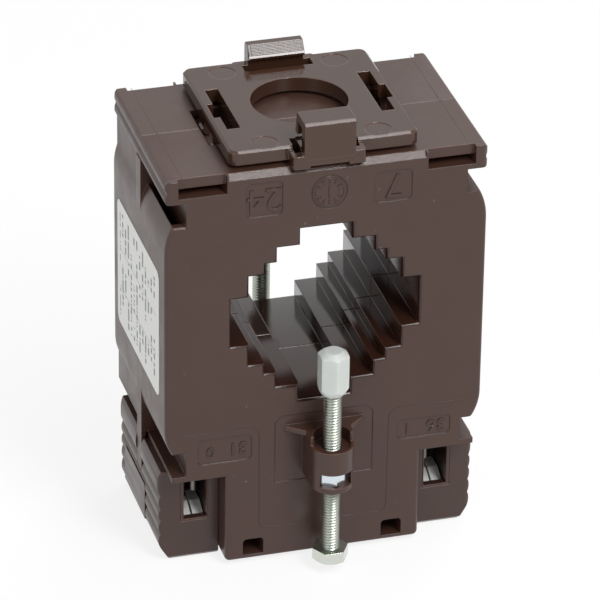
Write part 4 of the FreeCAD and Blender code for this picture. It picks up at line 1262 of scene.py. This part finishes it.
@dataclass(frozen=True)
class SoftBox:
    """Area lamp that points at the middle of the object."""

    name: str
    direction: tuple[float, float, float]
    distance_m: float
    width_m: float
    height_m: float
    power_w: float
    aim_m: tuple[float, float, float] = (0.0, 0.0, 0.05)

    def build(self) -> None:
        """Makes the lamp."""
        data = bpy.data.lights.new(self.name, "AREA")
        data.shape = "RECTANGLE"
        data.size = self.width_m
        data.size_y = self.height_m
        data.energy = self.power_w
        lamp = bpy.data.objects.new(self.name, data)
        aim = Vector(self.direction).normalized()
        lamp.location = Vector(self.aim_m) + aim * self.distance_m
        lamp.rotation_mode = "QUATERNION"
        lamp.rotation_quaternion = aim.to_track_quat("Z", "Y")
        bpy.context.scene.collection.objects.link(lamp)


@dataclass(frozen=True)
class Studio:
    """White room: soft sky, a tall soft box and a small bright one from the upper right, two weak ones."""

    fill: float = 0.41
    floor_shade: float = 0.18
    floor_half_m: float = 3.0
    paper: str = "#F4F4F4"
    lamps: tuple[SoftBox, ...] = (
        SoftBox("key_softbox", (0.245, -0.525, 0.815), 1.1, 0.40, 0.95, 6.8),
        SoftBox("strip_light", (0.240, -0.655, 0.716), 1.05, 0.20, 0.36, 3.0),
        SoftBox("top_softbox", (0.35, 0.40, 0.85), 1.3, 0.5, 0.5, 4.0),
        SoftBox("left_softbox", (-0.70, -0.58, 0.42), 1.3, 0.5, 0.5, 2.4))

    def build(self) -> None:
        """Makes the world, the floor, the lamps and the camera."""
        self.sky()
        self.floor()
        for lamp in self.lamps:
            lamp.build()
        PhotoCamera().build()
        bpy.context.scene.view_settings.view_transform = "Standard"

    def seen_directly(self, tree: bpy.types.NodeTree) -> bpy.types.NodeSocket:
        """Adds nodes that give 1 for rays that should meet plain white.

        Args:
            tree: Node tree of the world or of a material.

        Returns:
            The socket with the result.
        """
        path = add_node(tree, "ShaderNodeLightPath")
        seen = path.outputs["Is Camera Ray"]
        for ray in ("Is Glossy Ray", "Is Transmission Ray"):
            seen = add_node(tree, "ShaderNodeMath", links={0: seen, 1: path.outputs[ray]},
                            operation="MAXIMUM").outputs[0]
        return seen

    def sky(self) -> None:
        """White world that lights the object less than it shows."""
        world = bpy.data.worlds.new("white_room")
        world.use_nodes = True
        tree = world.node_tree
        tree.nodes.clear()
        strength = add_node(tree, "ShaderNodeMapRange", {1: 0.0, 2: 1.0, 3: self.fill, 4: 1.0},
                            {0: self.seen_directly(tree)})
        light = add_node(tree, "ShaderNodeBackground", {"Color": WHITE}, {"Strength": strength.outputs[0]})
        add_node(tree, "ShaderNodeOutputWorld", links={"Surface": light.outputs[0]})
        bpy.context.scene.world = world

    def floor(self) -> None:
        """Pale floor that keeps a faint shadow of the object."""
        mesh = bpy.data.meshes.new("floor")
        half = self.floor_half_m
        mesh.from_pydata([(-half, -half, 0), (half, -half, 0), (half, half, 0), (-half, half, 0)], [],
                         [(0, 1, 2, 3)])
        material, tree = new_material("floor_paper")
        paper = add_node(tree, "ShaderNodeBsdfDiffuse", {"Color": linear(self.paper)})
        white = add_node(tree, "ShaderNodeEmission", {"Color": WHITE, "Strength": 1.0})
        share = add_node(tree, "ShaderNodeMapRange", {1: 0.0, 2: 1.0, 3: 0.0, 4: 1.0 - self.floor_shade},
                         {0: self.seen_directly(tree)})
        blend = add_node(tree, "ShaderNodeMixShader",
                         links={0: share.outputs[0], 1: paper.outputs[0], 2: white.outputs[0]})
        add_node(tree, "ShaderNodeOutputMaterial", links={"Surface": blend.outputs[0]})
        mesh.materials.append(material)
        new_object("floor", mesh)


def main() -> None:
    """Builds every class in order."""
    logging.basicConfig(level=logging.INFO, format="%(name)s %(message)s")
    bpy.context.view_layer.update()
    palette = Palette.build()
    Housing(palette).build()
    RailAdapter(palette).build()
    Terminals(palette).build()
    ClampSet(palette, "front", Body.FRONT_SCREW, Body.FRONT_CAP).build()
    ClampSet(palette, "rear", Body.REAR_SCREW, Body.REAR_CAP).build()
    Active(palette).build()
    Studio().build()


if __name__ == "__main__":
    main()
